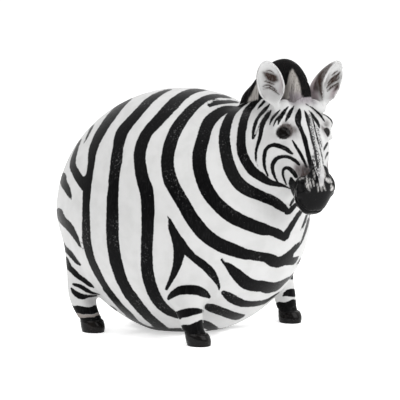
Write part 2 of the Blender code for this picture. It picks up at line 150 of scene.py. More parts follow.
# Painted marks are read from the photograph as runs of (x, y, width) in its pixels.
BODY_STRIPES = [
    # First ring behind, with a branch and a dash.
    [(134.5, 96.5, 0.6), (129, 99.5, 3.5), (122.5, 104.3, 6), (114.8, 112.5, 8), (103.8, 127.4, 9),
     (97.6, 138.3, 9), (93, 150, 8.5), (91, 165, 7), (89, 178, 7.5), (87, 191, 8), (86, 205, 7.5),
     (86, 217, 8), (87, 242, 9), (92.5, 262, 7.5), (102, 281, 6.5), (108, 290, 6), (115, 299, 6),
     (123, 308, 5), (131, 315, 4), (136, 319.5, 2)],
    [(81.5, 138.5, 0.8), (79, 143, 2.5), (76, 150, 4), (73.5, 158, 5), (73, 166, 7), (76, 173, 8),
     (80, 180, 8.5), (84, 187, 7)],
    [(94, 124.5, 0.8), (91, 129, 2.2), (87, 137, 2.2), (83.5, 143.5, 0.8)],
    # Second ring.
    [(173, 89.3, 1), (166, 91, 3), (158.5, 94.6, 5), (150.8, 99.5, 7), (144, 106, 8.5),
     (136.2, 115, 9.5), (127.3, 125.3, 10.5), (122.6, 131.5, 11), (119.6, 140, 12), (118, 148, 11),
     (116.8, 158, 12), (115, 170, 11), (113.5, 185, 10.5), (112.5, 200, 11.5), (112.5, 215, 12.5),
     (112.5, 237, 12.5), (114.7, 255, 12.5), (119.3, 273.4, 11.5), (126, 288.6, 11), (134, 299.8, 11),
     (145, 312.9, 9.5), (156, 323.3, 8.5), (166, 330, 6)],
    # Third ring.
    [(208, 90, 0.8), (201, 90, 3), (193, 91.2, 5.5), (183.7, 95.4, 8.5), (172.2, 105.3, 12),
     (159.4, 119.4, 11.5), (147, 133, 11), (141, 147, 12), (139.5, 160, 12), (142.5, 178, 13),
     (147, 194, 14), (148, 217, 13), (147, 242, 12), (146.8, 265, 12), (149.3, 281.3, 12.5),
     (154.9, 295.6, 12), (162, 305.7, 10.5), (170.3, 312.2, 8), (180, 317.5, 4)],
    # Fourth ring and the dash over it.
    [(232, 98.5, 0.8), (225, 96.5, 2.8), (217, 96, 4.5), (204, 99.5, 7), (189, 112, 10), (176, 130, 12),
     (170, 145, 13), (167.5, 163, 13), (171, 181.3, 14), (182.8, 202.6, 13.5), (196.2, 224.7, 14),
     (215, 242, 14), (240, 252.3, 12.3), (250, 254.8, 10.5), (262, 256.8, 9.5), (268, 258.5, 11),
     (273, 260.8, 12.5), (277, 262, 11)],
    [(238, 102, 2), (226, 102, 4), (216, 103, 5), (209, 106, 3)],
    # Fifth ring.
    [(236, 108, 4), (222.6, 110.6, 9), (209, 122.4, 12.5), (202.8, 140, 13.5), (199, 158, 14),
     (202.3, 178.6, 14), (211.5, 197.2, 14), (229.4, 214.6, 14), (249.4, 224.4, 13.5), (262, 229, 12.5),
     (270, 230.8, 9.5), (277, 233.3, 9.5), (281.5, 236, 8), (284, 238.8, 5)],
    # Sixth ring.
    [(250, 101, 2), (240, 107, 4), (230.8, 115.3, 8), (224.7, 133, 11), (225.8, 153, 12),
     (231.5, 172, 13), (243, 187, 12.5), (262, 196.5, 11), (272, 200.5, 10.5), (280, 205.5, 9.5),
     (288, 211.5, 5)],
    # Seventh ring, along the jaw.
    [(262, 97, 3), (256.3, 101.3, 5), (246.8, 112.4, 8), (241.7, 133, 9), (242.4, 153, 10),
     (251, 169, 10), (260, 176, 9), (268, 181.5, 7), (276, 184, 5), (283, 185.7, 3.2), (290, 188.5, 1.5)],
    # Shoulder.
    [(168, 217, 3), (172.8, 230, 8), (177.7, 242, 11), (178.7, 255, 10.5), (175.3, 270, 7.5),
     (166.5, 289, 3)],
    [(179, 240, 9), (186.8, 250.8, 8.5), (196, 259.2, 8), (206.3, 267.2, 8.5), (214, 276.6, 7.5),
     (218.7, 286, 3.5), (219, 290, 1)],
    # Chest.
    [(221.5, 259.8, 2.5), (228, 265.8, 6.5), (234, 271.8, 10.5), (241, 278.5, 13), (248.3, 284, 13),
     (256, 286, 12), (262, 286, 11), (267, 287.5, 12.5), (273, 287, 10), (278, 285.3, 7.5),
     (283, 282.3, 5), (287, 279.3, 3.5), (290, 277.5, 2.5)],
    [(224, 293.2, 5.5), (229.7, 297.2, 9), (236.5, 301, 9), (244, 303.8, 7.5), (252, 303.8, 6),
     (260, 303.2, 5), (266, 301.2, 3.6), (271, 298, 2.4), (276, 294.5, 1.5), (280, 291.5, 0.8)],
    [(208.3, 307, 7.5), (213.5, 308.6, 9.5), (221.3, 311.5, 9), (229.2, 314.3, 8.5), (236.5, 316.3, 7.5),
     (244, 315.5, 3)],
    [(202, 325.5, 12), (207, 326, 10), (212, 327, 6.5), (218, 328.5, 2)],
    # Bands of the fore leg.
    [(168.5, 298.7, 3), (172.3, 294.8, 6), (179, 290.8, 8.8), (187, 289.8, 9.5), (195, 290, 9.5),
     (203, 292.6, 8.5), (209, 296.6, 4)],
    [(174, 313.5, 4), (178, 314.5, 6.5), (184, 313.3, 9), (192, 311.7, 8), (199, 311, 5.5),
     (202.5, 311.2, 2.5)],
    # Low on the belly.
    [(104, 289, 3), (120, 308, 3), (135, 321, 4), (150, 328.5, 4), (166, 330.5, 5), (184, 330.5, 5.5)],
]
# Thin marks low on the haunch, over the hind leg.
HAUNCH_MARKS = [
    [(73.5, 284.3, 2.6), (78, 285.5, 4), (82.5, 287.5, 4.6), (87, 290.5, 4.6), (92, 292.7, 3),
     (100, 294.5, 1)],
    [(71.5, 288.5, 2), (74, 292, 4.5), (78, 295, 6), (83, 296.7, 5.5), (89, 296.3, 3.6), (96.5, 295.8, 2)],
]
# Marks of the left half of the chest, where it shows beyond the middle.
LEFT_CHEST_MARKS = [
    [(286, 213, 3), (289, 212, 5), (293, 207.5, 4.5), (297.5, 202.5, 3)],
    [(290, 206, 1.5), (292, 202, 3), (294.5, 198.5, 2.5)],
    [(284, 239, 5), (285.5, 236.5, 7), (288, 231.5, 6), (292.5, 224, 5), (298, 215.5, 4.5), (302, 210, 4)],
    [(300.5, 231, 1), (303, 226, 2.5), (305.5, 219, 2.2), (307.5, 213, 2)],
    [(302, 241, 2.5), (305.5, 231, 2.6), (308, 222, 2.4), (309.5, 217, 1.5)],
    [(275, 262.5, 12), (279, 263, 9), (284, 259, 8), (288, 255.3, 6.5), (293, 250.5, 5.5), (297, 246, 5),
     (300, 243.2, 3.2), (302, 241, 2.5)],
    [(279, 262.5, 8.5), (286, 260.5, 9.5), (290, 260.5, 9), (293, 261.5, 6.5), (296, 259, 4),
     (299, 256.5, 1.5)],
    [(296.5, 265, 1.2), (298.5, 262, 2.2), (300.5, 258.5, 1.5)],
    [(289.5, 279.3, 1), (292, 277.5, 4), (295.5, 274.5, 5), (299, 271.5, 4.5)],
]
# Marks of the near side of the head; its far side carries the same.
CHEEK_STRIPES = [
    [(257.5, 109.5, 1), (261, 105, 2.6), (266, 99.5, 3.5)],
    [(269.5, 104.5, 1.5), (264.5, 110, 4), (258.5, 117, 3.5), (255.2, 124, 3.5), (253.3, 132, 3),
     (252.7, 138.5, 2)],
    [(268.5, 111, 0.8), (264, 117, 1.1), (259.5, 125, 1.1), (256, 134, 1.1), (253.5, 139, 1)],
    [(271, 110.5, 1.5), (268, 115, 4), (264, 121, 5), (261.5, 128, 4.5), (260.5, 135, 4.5),
     (259, 141, 4), (257, 147, 3.5), (255.8, 155, 2.5), (256.5, 163, 1.2), (258, 166, 0.6)],
    [(280, 110, 1.2), (276, 114, 2.3), (272, 119, 2.3), (269.5, 125, 1)],
    [(288.5, 106.5, 1.2), (284.5, 111, 3.5), (281.5, 116, 4.2), (279.3, 120.5, 3.2), (278.3, 124.5, 1.5)],
    [(281, 115, 2.4), (276.8, 119, 2.4), (274, 124, 1.5), (273.5, 126.5, 0.8)],
    [(294, 106, 1.5), (291, 111, 4), (288, 117, 4), (285.5, 121.5, 2)],
    [(292.5, 140.5, 1.2), (294.5, 144, 2.6), (298, 150, 3), (301.5, 156, 3.2), (304.5, 162, 3),
     (306.5, 167, 2)],
    [(292.5, 154, 2.5), (290, 152.2, 4), (286, 149, 4.5), (279, 146, 4.6), (272.5, 145, 4),
     (267.5, 147.5, 4), (265, 152, 3.8), (264, 160, 3.3), (264.8, 168, 2.8), (268, 176, 1.5)],
    [(299, 164.5, 3), (296, 161.3, 4.2), (291, 158, 4), (285, 156.5, 4), (279, 157.5, 4.4),
     (275, 160.3, 4.8), (272.5, 165, 4.2), (272.8, 171, 3.6), (275.3, 178, 2.6), (278.5, 183.5, 1.3)],
    [(296, 176.5, 4), (293.5, 172.5, 4.8), (290, 169, 4.3), (286, 167.8, 3.6), (283.3, 170, 3),
     (282.8, 174, 2.8), (284.2, 179, 2.3), (286.5, 185, 1.3)],
    [(291, 179, 4), (292, 183, 7), (293, 187.5, 6.5), (294, 192, 4.5), (295.5, 197, 3)],
]
# Marks of the bridge and the forehead, which aren't repeated.
BRIDGE_STRIPES = [
    [(299.5, 108.5, 1.5), (299.3, 111, 4), (298.3, 117, 7), (298, 123, 5.5), (301, 129.5, 4.2),
     (303.2, 135, 4.6), (305.2, 141, 5), (307.4, 150, 4.6), (309.4, 159, 4.6), (311.5, 166, 5.5),
     (312.8, 173, 5)],
    [(304.3, 110.5, 1.2), (306.5, 115, 3.3), (308.3, 120.5, 4), (308.8, 126, 2.8), (310.3, 132, 2.4),
     (312.5, 141, 2.6), (314.8, 150, 2.6), (316.4, 159, 2.6), (318, 167, 2.4)],
    [(308.5, 110, 1), (311.5, 113.5, 2.6), (315, 118.5, 3.2), (318, 123.5, 3), (319.3, 127.5, 1.5)],
    [(312, 117, 1), (314, 124, 1.6), (315.8, 132, 1.6), (318, 141, 1.6), (320.5, 150, 1.5),
     (322.3, 158, 1.3), (323.5, 166, 1.1)],
    [(306, 104, 1.2), (311, 107, 2), (316, 111, 2.5), (321, 116, 2.8), (324.5, 121.5, 1.6)],
    [(322, 113.5, 1), (327, 116.5, 1.5), (331, 119.5, 2), (332.7, 123.5, 2), (331.5, 126.5, 1)],
    [(323.5, 151.5, 0.8), (325, 147.5, 2.4), (327.5, 143, 2)],
    [(324.8, 160, 0.8), (326, 156, 2.3), (327.8, 152.5, 1.8)],
]
# Dry-brushed grey between the bridge's stripes, and the muzzle's pale streaks with painted highlights on the
# nostrils' rims.
DUST_MARKS = [
    [(309.5, 116, 3), (311.5, 130, 4), (314.5, 145, 4), (317.5, 160, 5), (317, 172, 6), (316.5, 182, 4)],
    [(317, 126, 2), (319, 136, 2), (321, 146, 2)],
    [(306, 168, 6), (310, 174, 6), (313, 184, 5)],
    [(313.5, 157, 3), (314.3, 165, 5), (315, 173, 5), (315.5, 180, 4)],
]
# The first four runs lie on the near nostril's rim and the last two on the far nostril's. These are painted
# highlights, and the others are pale streaks of paint.
MUZZLE_STREAKS_AND_HIGHLIGHTS = [
    [(299, 179.8, 0.6), (301.5, 178.2, 1.3), (304, 178, 0.6)],
    [(306.4, 176, 0.6), (307, 181, 1.9), (308.3, 186, 1.6), (309.8, 191, 0.6)],
    [(305.2, 183.5, 0.5), (306.4, 186, 1.2), (307.4, 188.5, 0.5)],
    [(309.4, 178, 0.6), (310.2, 183, 1.3), (311.6, 188, 0.5)],
    [(312.3, 179, 0.5), (313.4, 182, 1.2), (314, 186, 0.5)],
    [(313.4, 170, 0.6), (314.3, 175, 1), (314.8, 179, 0.5)],
    [(317.3, 184, 1.2), (318, 188, 1.3), (318.4, 191.5, 0.5)],
    [(320.6, 184, 1.4), (321.2, 188, 1.3), (322, 191.5, 0.5)],
    [(323.6, 184, 1.2), (324.3, 188, 1.2), (325.6, 190.5, 0.5)],
    [(323.5, 168, 1), (324.8, 174, 1.6), (324.8, 179, 0.8)],
    [(327, 179.3, 3.6), (329, 180.5, 4.6), (331, 182, 2.6)],
    [(331.5, 186, 2.4), (332.3, 187.8, 3), (331.5, 190, 2)],
]
# The ears as the photograph shows them: brown patches, brown hairs and pinkish grey places.
EAR_BROWN_MARKS = [
    [(263.5, 72.5, 3), (266.5, 74.5, 7), (270, 77, 10), (273.5, 78.5, 10), (276.5, 80, 5)],
    [(326, 66, 2), (323, 71, 5), (320, 76, 7), (319.5, 82, 7.5), (320.5, 88, 6), (321.5, 94, 5),
     (322.5, 99.5, 2)],
    [(328.5, 86, 3), (331.5, 82, 5), (335, 78.5, 6), (338, 75.5, 3)],
    [(334, 91, 2), (337, 87, 5), (338.5, 83, 2)],
]
EAR_HAIRS = [
    [(264.5, 81, 0.8), (269, 82.5, 1.8), (274, 84.5, 1.2)],
    [(263, 86.3, 0.8), (267.5, 85, 1.6), (272, 86.8, 1.5), (276.5, 90.5, 0.8)],
    [(263.5, 88.8, 0.6), (269, 88, 1.4), (274, 90.5, 1.4), (279, 94.5, 0.6)],
    [(266, 71, 0.6), (270, 70.6, 1.2), (274, 73, 0.6)],
    [(326.5, 88, 1), (329.5, 84.3, 2), (333.5, 81.5, 2.2), (337, 80, 1.8), (339.5, 77, 0.8)],
    [(328, 83.5, 1), (331, 79.5, 2), (334.5, 76.7, 2.4), (338, 74.5, 1.8), (340, 72, 0.8)],
    [(327.5, 91, 1), (331, 87.6, 2), (335, 85, 1.8), (338.5, 82.5, 1)],
    [(332, 75.3, 0.8), (334.5, 73, 1.6), (337.5, 71, 0.8)],
]
EAR_PINK_MARKS = [
    [(311, 79, 3), (312.5, 86, 6), (315, 93, 8), (317, 99, 5)],
    [(330, 98, 2), (333.5, 92, 6), (337, 87, 5)],
    [(280, 76, 2), (281.5, 84, 3), (280, 92, 3)],
]
# The rump's marks start beside the tail, as (right, up, width), and go on into the photograph's view.
RUMP_MARKS = [
    ([(9, 203, 2), (30, 195, 8), (52, 180, 9)],
     [(63, 176, 7), (63.5, 182, 7), (67, 189, 7), (71, 199, 2)]),
    ([(10, 173, 2), (30, 164, 8), (52, 146, 9)],
     [(59, 212, 8), (62, 219, 8), (70, 228, 8), (76, 238, 5), (81, 248, 2)]),
    ([(10, 141, 2), (30, 132, 7), (52, 116, 7)],
     [(60.5, 240, 5), (64, 247, 5), (69, 252, 5), (73, 257, 5), (77, 262, 4), (80, 265, 2)]),
    ([(9, 110, 2), (30, 101, 7), (52, 85, 7)],
     [(65.5, 259, 5), (69, 267, 5.5), (73, 271, 5.5), (78, 276, 5.5), (84, 280.3, 5),
      (89, 284.2, 4.3), (93.5, 287.2, 2)]),
]
HIDDEN_RUMP_MARKS = [
    [(9, 80, 2), (30, 72, 7), (50, 60, 3)],
    [(14, 46, 2), (30, 40, 6), (48, 31, 3)],
]
# Short marks of the left fore leg's inner side.
LEFT_LEG_MARKS = [
    [(283, 296, 1.5), (285.5, 294, 5), (288.5, 292.8, 8), (291.5, 292.8, 8.5), (294, 293, 8)],
]
# Bands of the tail, by their share of its length, where its black tuft starts, and steps along it.
TAIL_BANDS = (0.08, 0.2, 0.32, 0.44)
TAIL_TUFT = 0.58
TAIL_STEPS = 28

# How far from a mark's edge its distance is still told apart, the step along it and the gap that
# ends it, in parts.
FAR = 7.0
MARK_STEP = 3.0
MARK_GAP = 14.0

# The back lies over this height and behind the nape. The chest's own marks start this far to the
# right and forward, and the haunch's lie beyond these places and below the last.
BACK_UP = 170.0
NAPE_FORWARD = 95.0
CHEST_RIGHT = 12.0
CHEST_FORWARD = 45.0
HAUNCH_RIGHT = 58.0
HAUNCH_BACK = 20.0
HAUNCH_UP = 75.0

# Levels on the legs: black socks and their rise forward, the hind legs' band and the hooves. Then the
# legs' middles and reach on the floor, and the radius of the dark patch under the belly.
FORE_SOCK = 21.5
HIND_BAND_TOP = 25.5
HIND_BAND_LOW = 18.0
HIND_SOCK = 14.5
SOCK_RISE = 0.2
HOOF_TOP = 12.0
LEG_REACH = 26.0
FORE_LEG_SPOT = (78.0, 74.0)
HIND_LEG_SPOT = (83.5, -50.0)
VENTRAL_REACH = 52.0

# The muzzle's black starts this far along the face, by how proud of the face line, and lower on the
# bridge, whose pale strip has this middle and half-width. It lies beyond a place along the face,
# in front of the jaw's line and within a half-width.
MUZZLE_START = [(-20.0, 71.5), (-8.0, 70.5), (1.0, 73.0), (5.0, 73.5), (8.0, 71.0), (11.0, 67.5)]
JAW_LINE = [(60.0, -38.0), (73.0, -33.0), (87.0, -32.0), (101.5, -24.0)]
BRIDGE_START = 86.0
BRIDGE_MIDDLE = 1.5
BRIDGE_HALF_WIDTH = 3.4
MUZZLE_BEYOND = 50.0
MUZZLE_HALF_WIDTH = 24.0

# The mane's mid-line, its base, its ridge and its half-thickness, by parts forward, and its centre.
MANE_MIDDLE = [(67.0, 0.0), (96.0, 0.0), (110.0, 1.0), (124.0, 2.0), (136.0, 4.0), (145.0, 7.0),
               (151.0, 10.0)]
MANE_BASE = [(66.0, 222.0), (80.0, 224.5), (96.0, 228.0), (108.0, 230.5), (118.0, 230.5), (124.0, 228.0),
             (143.0, 226.5), (149.0, 231.0), (160.0, 232.0)]
MANE_RIDGE = [(70.0, 228.0), (75.0, 234.0), (85.0, 244.0), (97.0, 256.0), (110.0, 264.5), (124.0, 267.0),
              (136.0, 262.0), (144.5, 251.5), (148.5, 239.5), (151.0, 227.0)]
MANE_HALF = [(66.0, 5.0), (80.0, 8.0), (110.0, 10.0), (136.0, 12.0), (150.0, 13.0)]
MANE_CENTRE_FORWARD = 112.0
# The pale panels of the mane's sides: how far forward they start and end, by height.
FRONT_PANEL_FROM = [(226.0, 120.0), (238.0, 122.0), (241.0, 127.5), (243.0, 131.5), (252.0, 133.0),
                    (258.0, 136.0)]
FRONT_PANEL_TO = [(227.0, 160.0), (230.0, 155.0), (232.0, 151.8), (236.0, 150.0), (240.0, 148.5),
                  (249.0, 143.5), (256.0, 138.5), (258.0, 136.5)]
REAR_PANEL_FROM = [(224.0, 81.5), (241.0, 92.0), (246.0, 96.0)]
REAR_PANEL_TO = 96.0
# The forelock's root is pinkish grey about this height, fading out at the reach and behind the start.
FORELOCK_ROOT = 230.5
FORELOCK_REACH = 9.0
FORELOCK_START = 118.0

# The eye as the photograph shows it, and its brown socket: middles and half-axes in pixels.
EYE_PIXEL = (283.3, 133.0)
EYE_HALVES = (7.4, 6.4)
SOCKET_PIXEL = (285.6, 130.5)
SOCKET_HALVES = (8.8, 8.8)
# Of the eye beyond the bridge a narrow part shows.
FAR_EYE_PIXEL = (326.4, 132.4)
FAR_EYE_HALVES = (3.6, 4.8)
# Soft spots, as (x, y, reach in parts, strength): airbrushed brown and grey, and among the grey some painted
# shade.
BROWN_SPOTS = [
    (300, 171, 10, 0.6), (305, 170, 9, 0.75), (303, 176, 9, 0.85), (308, 174, 8, 0.9), (292.5, 130, 7, 0.6),
    (285, 124.5, 5, 0.5),
]
GREY_AND_SHADE_SPOTS = [
    (286, 99, 8, 0.5), (294, 103, 7, 0.35), (301, 102, 7, 0.35), (294, 133, 10, 0.5), (290, 122, 7, 0.2),
    (300, 170, 12, 0.8), (305, 171, 10, 0.95), (303, 176, 9, 0.9),
    # (91, 300) and (277, 297) are painted shade on the legs, under the body.
    (319.5, 181, 8, 0.4), (320, 171, 7, 0.25), (91, 300, 10, 0.4), (277, 297, 9, 0.6),
    # The wide faint spots on the cheek, all but (296, 168), are painted shade that darkens it below the
    # forehead.
    (284, 144, 9, 0.16), (296, 168, 9, 0.3), (268, 142, 18, 0.12), (275, 170, 20, 0.12), (262, 160, 14, 0.1),
]
# The ears' brown patches, by flank: the middle's share of the length, its place across and its reaches.
EAR_PATCHES = {1: (0.61, 0.0, 11.0, 8.0), -1: (0.50, 1.0, 12.0, 6.0)}

# Paint colours, as linear red, green, blue and alpha.
WHITE_PAINT = (0.57, 0.57, 0.568, 1.0)
WHITE_SHADE = (0.525, 0.525, 0.522, 1.0)
BLACK_PAINT = (0.0025, 0.0025, 0.0028, 1.0)
BLACK_WORN = (0.009, 0.009, 0.0095, 1.0)
# Grey of the airbrush, also laid as painted shade on the cheek and the legs.
GREY_SHADE = (0.20, 0.185, 0.195, 1.0)
PINK_SHADE = (0.40, 0.345, 0.36, 1.0)
BROWN_SHADE = (0.032, 0.019, 0.015, 1.0)
MANE_PALE = (0.36, 0.34, 0.32, 1.0)
MANE_BROWN = (0.014, 0.011, 0.010, 1.0)
ROOT_GREY = (0.21, 0.185, 0.205, 1.0)
FLECK_GREY = (0.07, 0.07, 0.07, 1.0)
RING_PALE = (0.26, 0.235, 0.22, 1.0)
DUST_GREY = (0.045, 0.044, 0.045, 1.0)
# Pale of the muzzle's streaks and of the painted highlights on the nostrils' rims.
STREAK_AND_HIGHLIGHT_PALE = (0.50, 0.49, 0.48, 1.0)
HOOF_DARK = (0.004, 0.0035, 0.0035, 1.0)
HOOF_BROWN = (0.009, 0.007, 0.006, 1.0)
EYE_DARK = (0.002, 0.0012, 0.001, 1.0)
# The paint's specular level, and the roughness of the varnish on eyes, muzzle and hooves.
PAINT_SHINE = 0.04
VARNISH_ROUGHNESS = 0.16

# Noise in the paint, in waves to the metre: clouds, grain, brush strokes, chips and where they
# gather, flecks and where they gather, dry brushing and hair.
WIDE_SCALE = 95.0
FINE_SCALE = 520.0
BRUSH_SCALE = 900.0
CHIP_SCALE = 780.0
CHIPPED_SCALE = 26.0
FLECK_SCALE = 640.0
FLECKED_SCALE = 38.0
DRY_SCALE = 1300.0
HAIR_SCALE = 1500.0
# What grain, brush strokes, the stripes' paint and hair raise the surface by, in metres.
GRAIN_RISE = 0.00006
BRUSH_RISE = 0.00005
STRIPE_RISE = 0.00009
HAIR_RISE = 0.0006

# The studio: soft boxes by name, azimuth, elevation, distance, side and power, and a white floor.
LAMPS = [
    ("key", -100.0, 50.0, 1.1, 0.9, 3.4),
    ("front", 0.0, 35.0, 1.1, 0.9, 6.4),
    ("top", 0.0, 85.0, 1.2, 1.0, 3.5),
]
FLOOR_RADIUS = 6.0
FLOOR_PAINT = (0.92, 0.92, 0.92, 1.0)
FLOOR_ROUGHNESS = 0.9
FLOOR_GLOW = 0.6
# The room is white beyond the figure and darker on the camera's side.
WORLD_COLOUR = (1.0, 1.0, 1.0, 1.0)
ROOM_WHITE = 1.1
ROOM_DARK = 0.28


def place(right, forward, up):
    """A point by its parts to the animal's right, forward and up: it faces -Y and its right is -X."""
    return Vector((-right, -forward, up))


def head_point(out, along, front):
    """A point of the head: out to its right, along the face from the poll, and proud of the face line."""
    onward = along * math.cos(FACE_PITCH) + front * math.sin(FACE_PITCH)
    down = along * math.sin(FACE_PITCH) - front * math.cos(FACE_PITCH)
    right = POLL[0] + onward * math.sin(HEAD_TURN) + out * math.cos(HEAD_TURN)
    forward = POLL[1] + onward * math.cos(HEAD_TURN) - out * math.sin(HEAD_TURN)
    return place(right, forward, POLL[2] - down)


def head_level(out, onward, up):
    """A point by the head's right, its forward direction on the level, and height over the poll."""
    right = POLL[0] + onward * math.sin(HEAD_TURN) + out * math.cos(HEAD_TURN)
    forward = POLL[1] + onward * math.cos(HEAD_TURN) - out * math.sin(HEAD_TURN)
    return place(right, forward, POLL[2] + up)


def mesh_of(rings):
    """A closed skin through rings of as many points each, with a flat face over each end."""
    shell = bmesh.new()
    rows = [[shell.verts.new(point) for point in ring] for ring in rings]
    count = len(rings[0])
    for low, high in zip(rows, rows[1:]):
        for i in range(count):
            j = (i + 1) % count
            shell.faces.new((low[i], low[j], high[j], high[i]))
    shell.faces.new(reversed(rows[0]))
    shell.faces.new(rows[-1])
    bmesh.ops.recalc_face_normals(shell, faces=shell.faces)
    mesh = bpy.data.meshes.new("shell")
    shell.to_mesh(mesh)
    shell.free()
    return mesh


def eased(sections, between=3):
    """More sections on a smooth curve through the given ones."""
    rows = np.array(sections, dtype=float)
    ends = np.vstack([2 * rows[0] - rows[1], rows, 2 * rows[-1] - rows[-2]])
    fine = []
    for a, b, c, d in zip(ends, ends[1:], ends[2:], ends[3:]):
        for t in np.arange(between) / between:
            bend = (2 * a - 5 * b + 4 * c - d) * t * t + (3 * b - a - 3 * c + d) * t ** 3
            fine.append(b + ((c - a) * t + bend) / 2)
    fine.append(rows[-1])
    return fine


def oval_ring(centre, side, front, points=32, power=1.0, taper=0.0):
    """Points round an oval with the half-axes side and front.

    A power under 1 squares it off, and a taper makes it narrower in front and wider behind.
    """
    ring = []
    for i in range(points):
        turn = 2 * math.pi * i / points
        across = math.copysign(abs(math.cos(turn)) ** power, math.cos(turn))
        ahead = math.copysign(abs(math.sin(turn)) ** power, math.sin(turn))
        ring.append(centre + side * across * (1 - taper * ahead) + front * ahead)
    return ring


def body_shell():
    """The ball of the body, drawn in at the groin and flat just over the floor."""
    shell = bmesh.new()
    bmesh.ops.create_icosphere(shell, subdivisions=6, radius=1.0)
    for vert in shell.verts:
        x, y, z = vert.co
        behind = max(0.0, y)
        below = max(0.0, -z)
        relief = 1.0 - GROIN_RELIEF * min(1.0, 2.0 * behind * below)
        vert.co.x = x * BODY_HALF_WIDTH * relief
        vert.co.y = y * BODY_HALF_LENGTH * relief
        vert.co.z = BODY_CENTRE_UP + z * BODY_HALF_HEIGHT * relief
        vert.co.z = max(vert.co.z, BELLY_GAP)
    mesh = bpy.data.meshes.new("body")
    shell.to_mesh(mesh)
    shell.free()
    return mesh


def neck_shell():
    """The thick neck, from deep in the body to the back of the head, with its back line level."""
    # Forward, up, right, half-width, half-depth and tilt of each section.
    sections = [
        (38.0, 146.0, 0.0, 84.0, 80.0, 20.0),
        (70.0, 160.0, 0.0, 67.0, 70.0, 26.0),
        (92.0, 171.0, 0.0, 54.0, 58.0, 30.0),
        (112.0, 181.0, 1.5, 43.0, 47.0, 34.0),
        (130.0, 189.0, 4.0, 34.0, 38.0, 38.0),
        (142.0, 194.0, 7.0, 24.0, 28.0, 40.0),
    ]
    rings = []
    for forward, up, right, half_width, half_depth, tilt in eased(sections):
        lean = math.radians(tilt)
        side = place(1, 0, 0) * half_width
        front = place(0, -math.sin(lean), math.cos(lean)) * half_depth
        rings.append(oval_ring(place(right, forward, up), side, front))
    return mesh_of(rings)


def head_shell():
    """The long head: a bulging forehead, a straight bridge and a round muzzle."""
    # Along the face, its front line, its back line, half-width, squareness and taper of each section.
    sections = [
        (-14.0, -8.0, -34.0, 12.0, 1.0, 0.0),
        (-8.0, -3.0, -40.0, 17.5, 1.0, 0.0),
        (2.0, 2.0, -45.0, 21.5, 1.0, 0.0),
        (14.0, 7.0, -47.0, 26.8, 0.95, 0.05),
        (26.0, 10.5, -48.0, 28.5, 0.9, 0.08),
        (38.0, 12.5, -47.0, 27.5, 0.85, 0.12),
        (50.0, 13.0, -43.0, 24.5, 0.85, 0.15),
        (62.0, 12.5, -37.0, 18.2, 0.85, 0.15),
        (73.0, 12.0, -33.0, 14.0, 0.85, 0.0),
        (81.0, 11.0, -31.5, 16.2, 0.85, -0.05),
        (87.0, 6.5, -32.0, 17.4, 0.9, -0.08),
        (93.5, -1.5, -31.0, 14.0, 0.9, -0.05),
        (99.0, -9.0, -28.0, 10.0, 0.95, 0.0),
        (101.5, -15.0, -24.0, 6.0, 1.0, 0.0),
    ]
    rings = []
    for along, face, jaw, half_width, power, taper in eased(sections):
        centre = head_point(0, along, (face + jaw) / 2)
        side = head_point(half_width, along, (face + jaw) / 2) - centre
        front = head_point(0, along, face) - centre
        rings.append(oval_ring(centre, side, front, power=power, taper=taper))
    return mesh_of(rings)


def ball_shell(centre, radius):
    shell = bmesh.new()
    bmesh.ops.create_icosphere(shell, subdivisions=4, radius=radius)
    bmesh.ops.translate(shell, verts=shell.verts, vec=centre)
    mesh = bpy.data.meshes.new("ball")
    shell.to_mesh(mesh)
    shell.free()
    return mesh


def brow_shell(flank):
    """The bony ridge over an eye. flank is 1 on the head's right side and -1 on its left."""
    # Out, along and front from the eye's middle, and the ridge's radius.
    sections = [
        (-9.5, -8.5, 7.0, 3.4),
        (-3.0, -11.5, 6.0, 4.6),
        (5.0, -10.5, 2.0, 5.2),
        (6.5, -7.0, -4.0, 4.6),
        (2.5, -5.0, -11.0, 2.8),
    ]
    centres = []
    for out, along, front, _ in sections:
        centres.append(head_point(flank * (EYE_OUT + out), EYE_ALONG + along, EYE_FRONT + front))
    return tube(centres, [section[3] for section in sections])


def lid_shell(flank, opening):
    """An eyelid: a rounded edge that lies on the eyeball. opening is its rise there, in degrees."""
    middle = head_point(flank * EYE_OUT, EYE_ALONG, EYE_FRONT)
    outward = (head_point(flank * (EYE_OUT + 9), EYE_ALONG, EYE_FRONT + 3) - middle).normalized()
    onward = (head_point(flank * EYE_OUT, EYE_ALONG + 4, EYE_FRONT + 9) - middle).normalized()
    onward = (onward - outward * onward.dot(outward)).normalized()
    upward = outward.cross(onward)
    if upward.z < 0:
        upward = -upward
    steps = 10
    centres = []
    radii = []
    for i in range(steps + 1):
        turn = math.radians(-68 + 136 * i / steps)
        rise = math.radians(opening) * math.cos(turn * 1.25)
        way = outward * math.cos(turn) * math.cos(rise) + onward * math.sin(turn) * math.cos(rise)
        centres.append(middle + (way + upward * math.sin(rise)) * (EYE_RADIUS + 0.3))
        radii.append(LID_RADIUS * (0.6 + 0.4 * math.cos(turn)))
    return tube(centres, radii)


def tube(centres, radii):
    """A round tube through centres, each with its own radius."""
    side = (centres[1] - centres[0]).orthogonal().normalized()
    rings = []
    for i, centre in enumerate(centres):
        run = centres[min(i + 1, len(centres) - 1)] - centres[max(i - 1, 0)]
        run.normalize()
        side = (side - run * side.dot(run)).normalized()
        rings.append(oval_ring(centre, side * radii[i], run.cross(side) * radii[i], points=16))
    return mesh_of(rings)


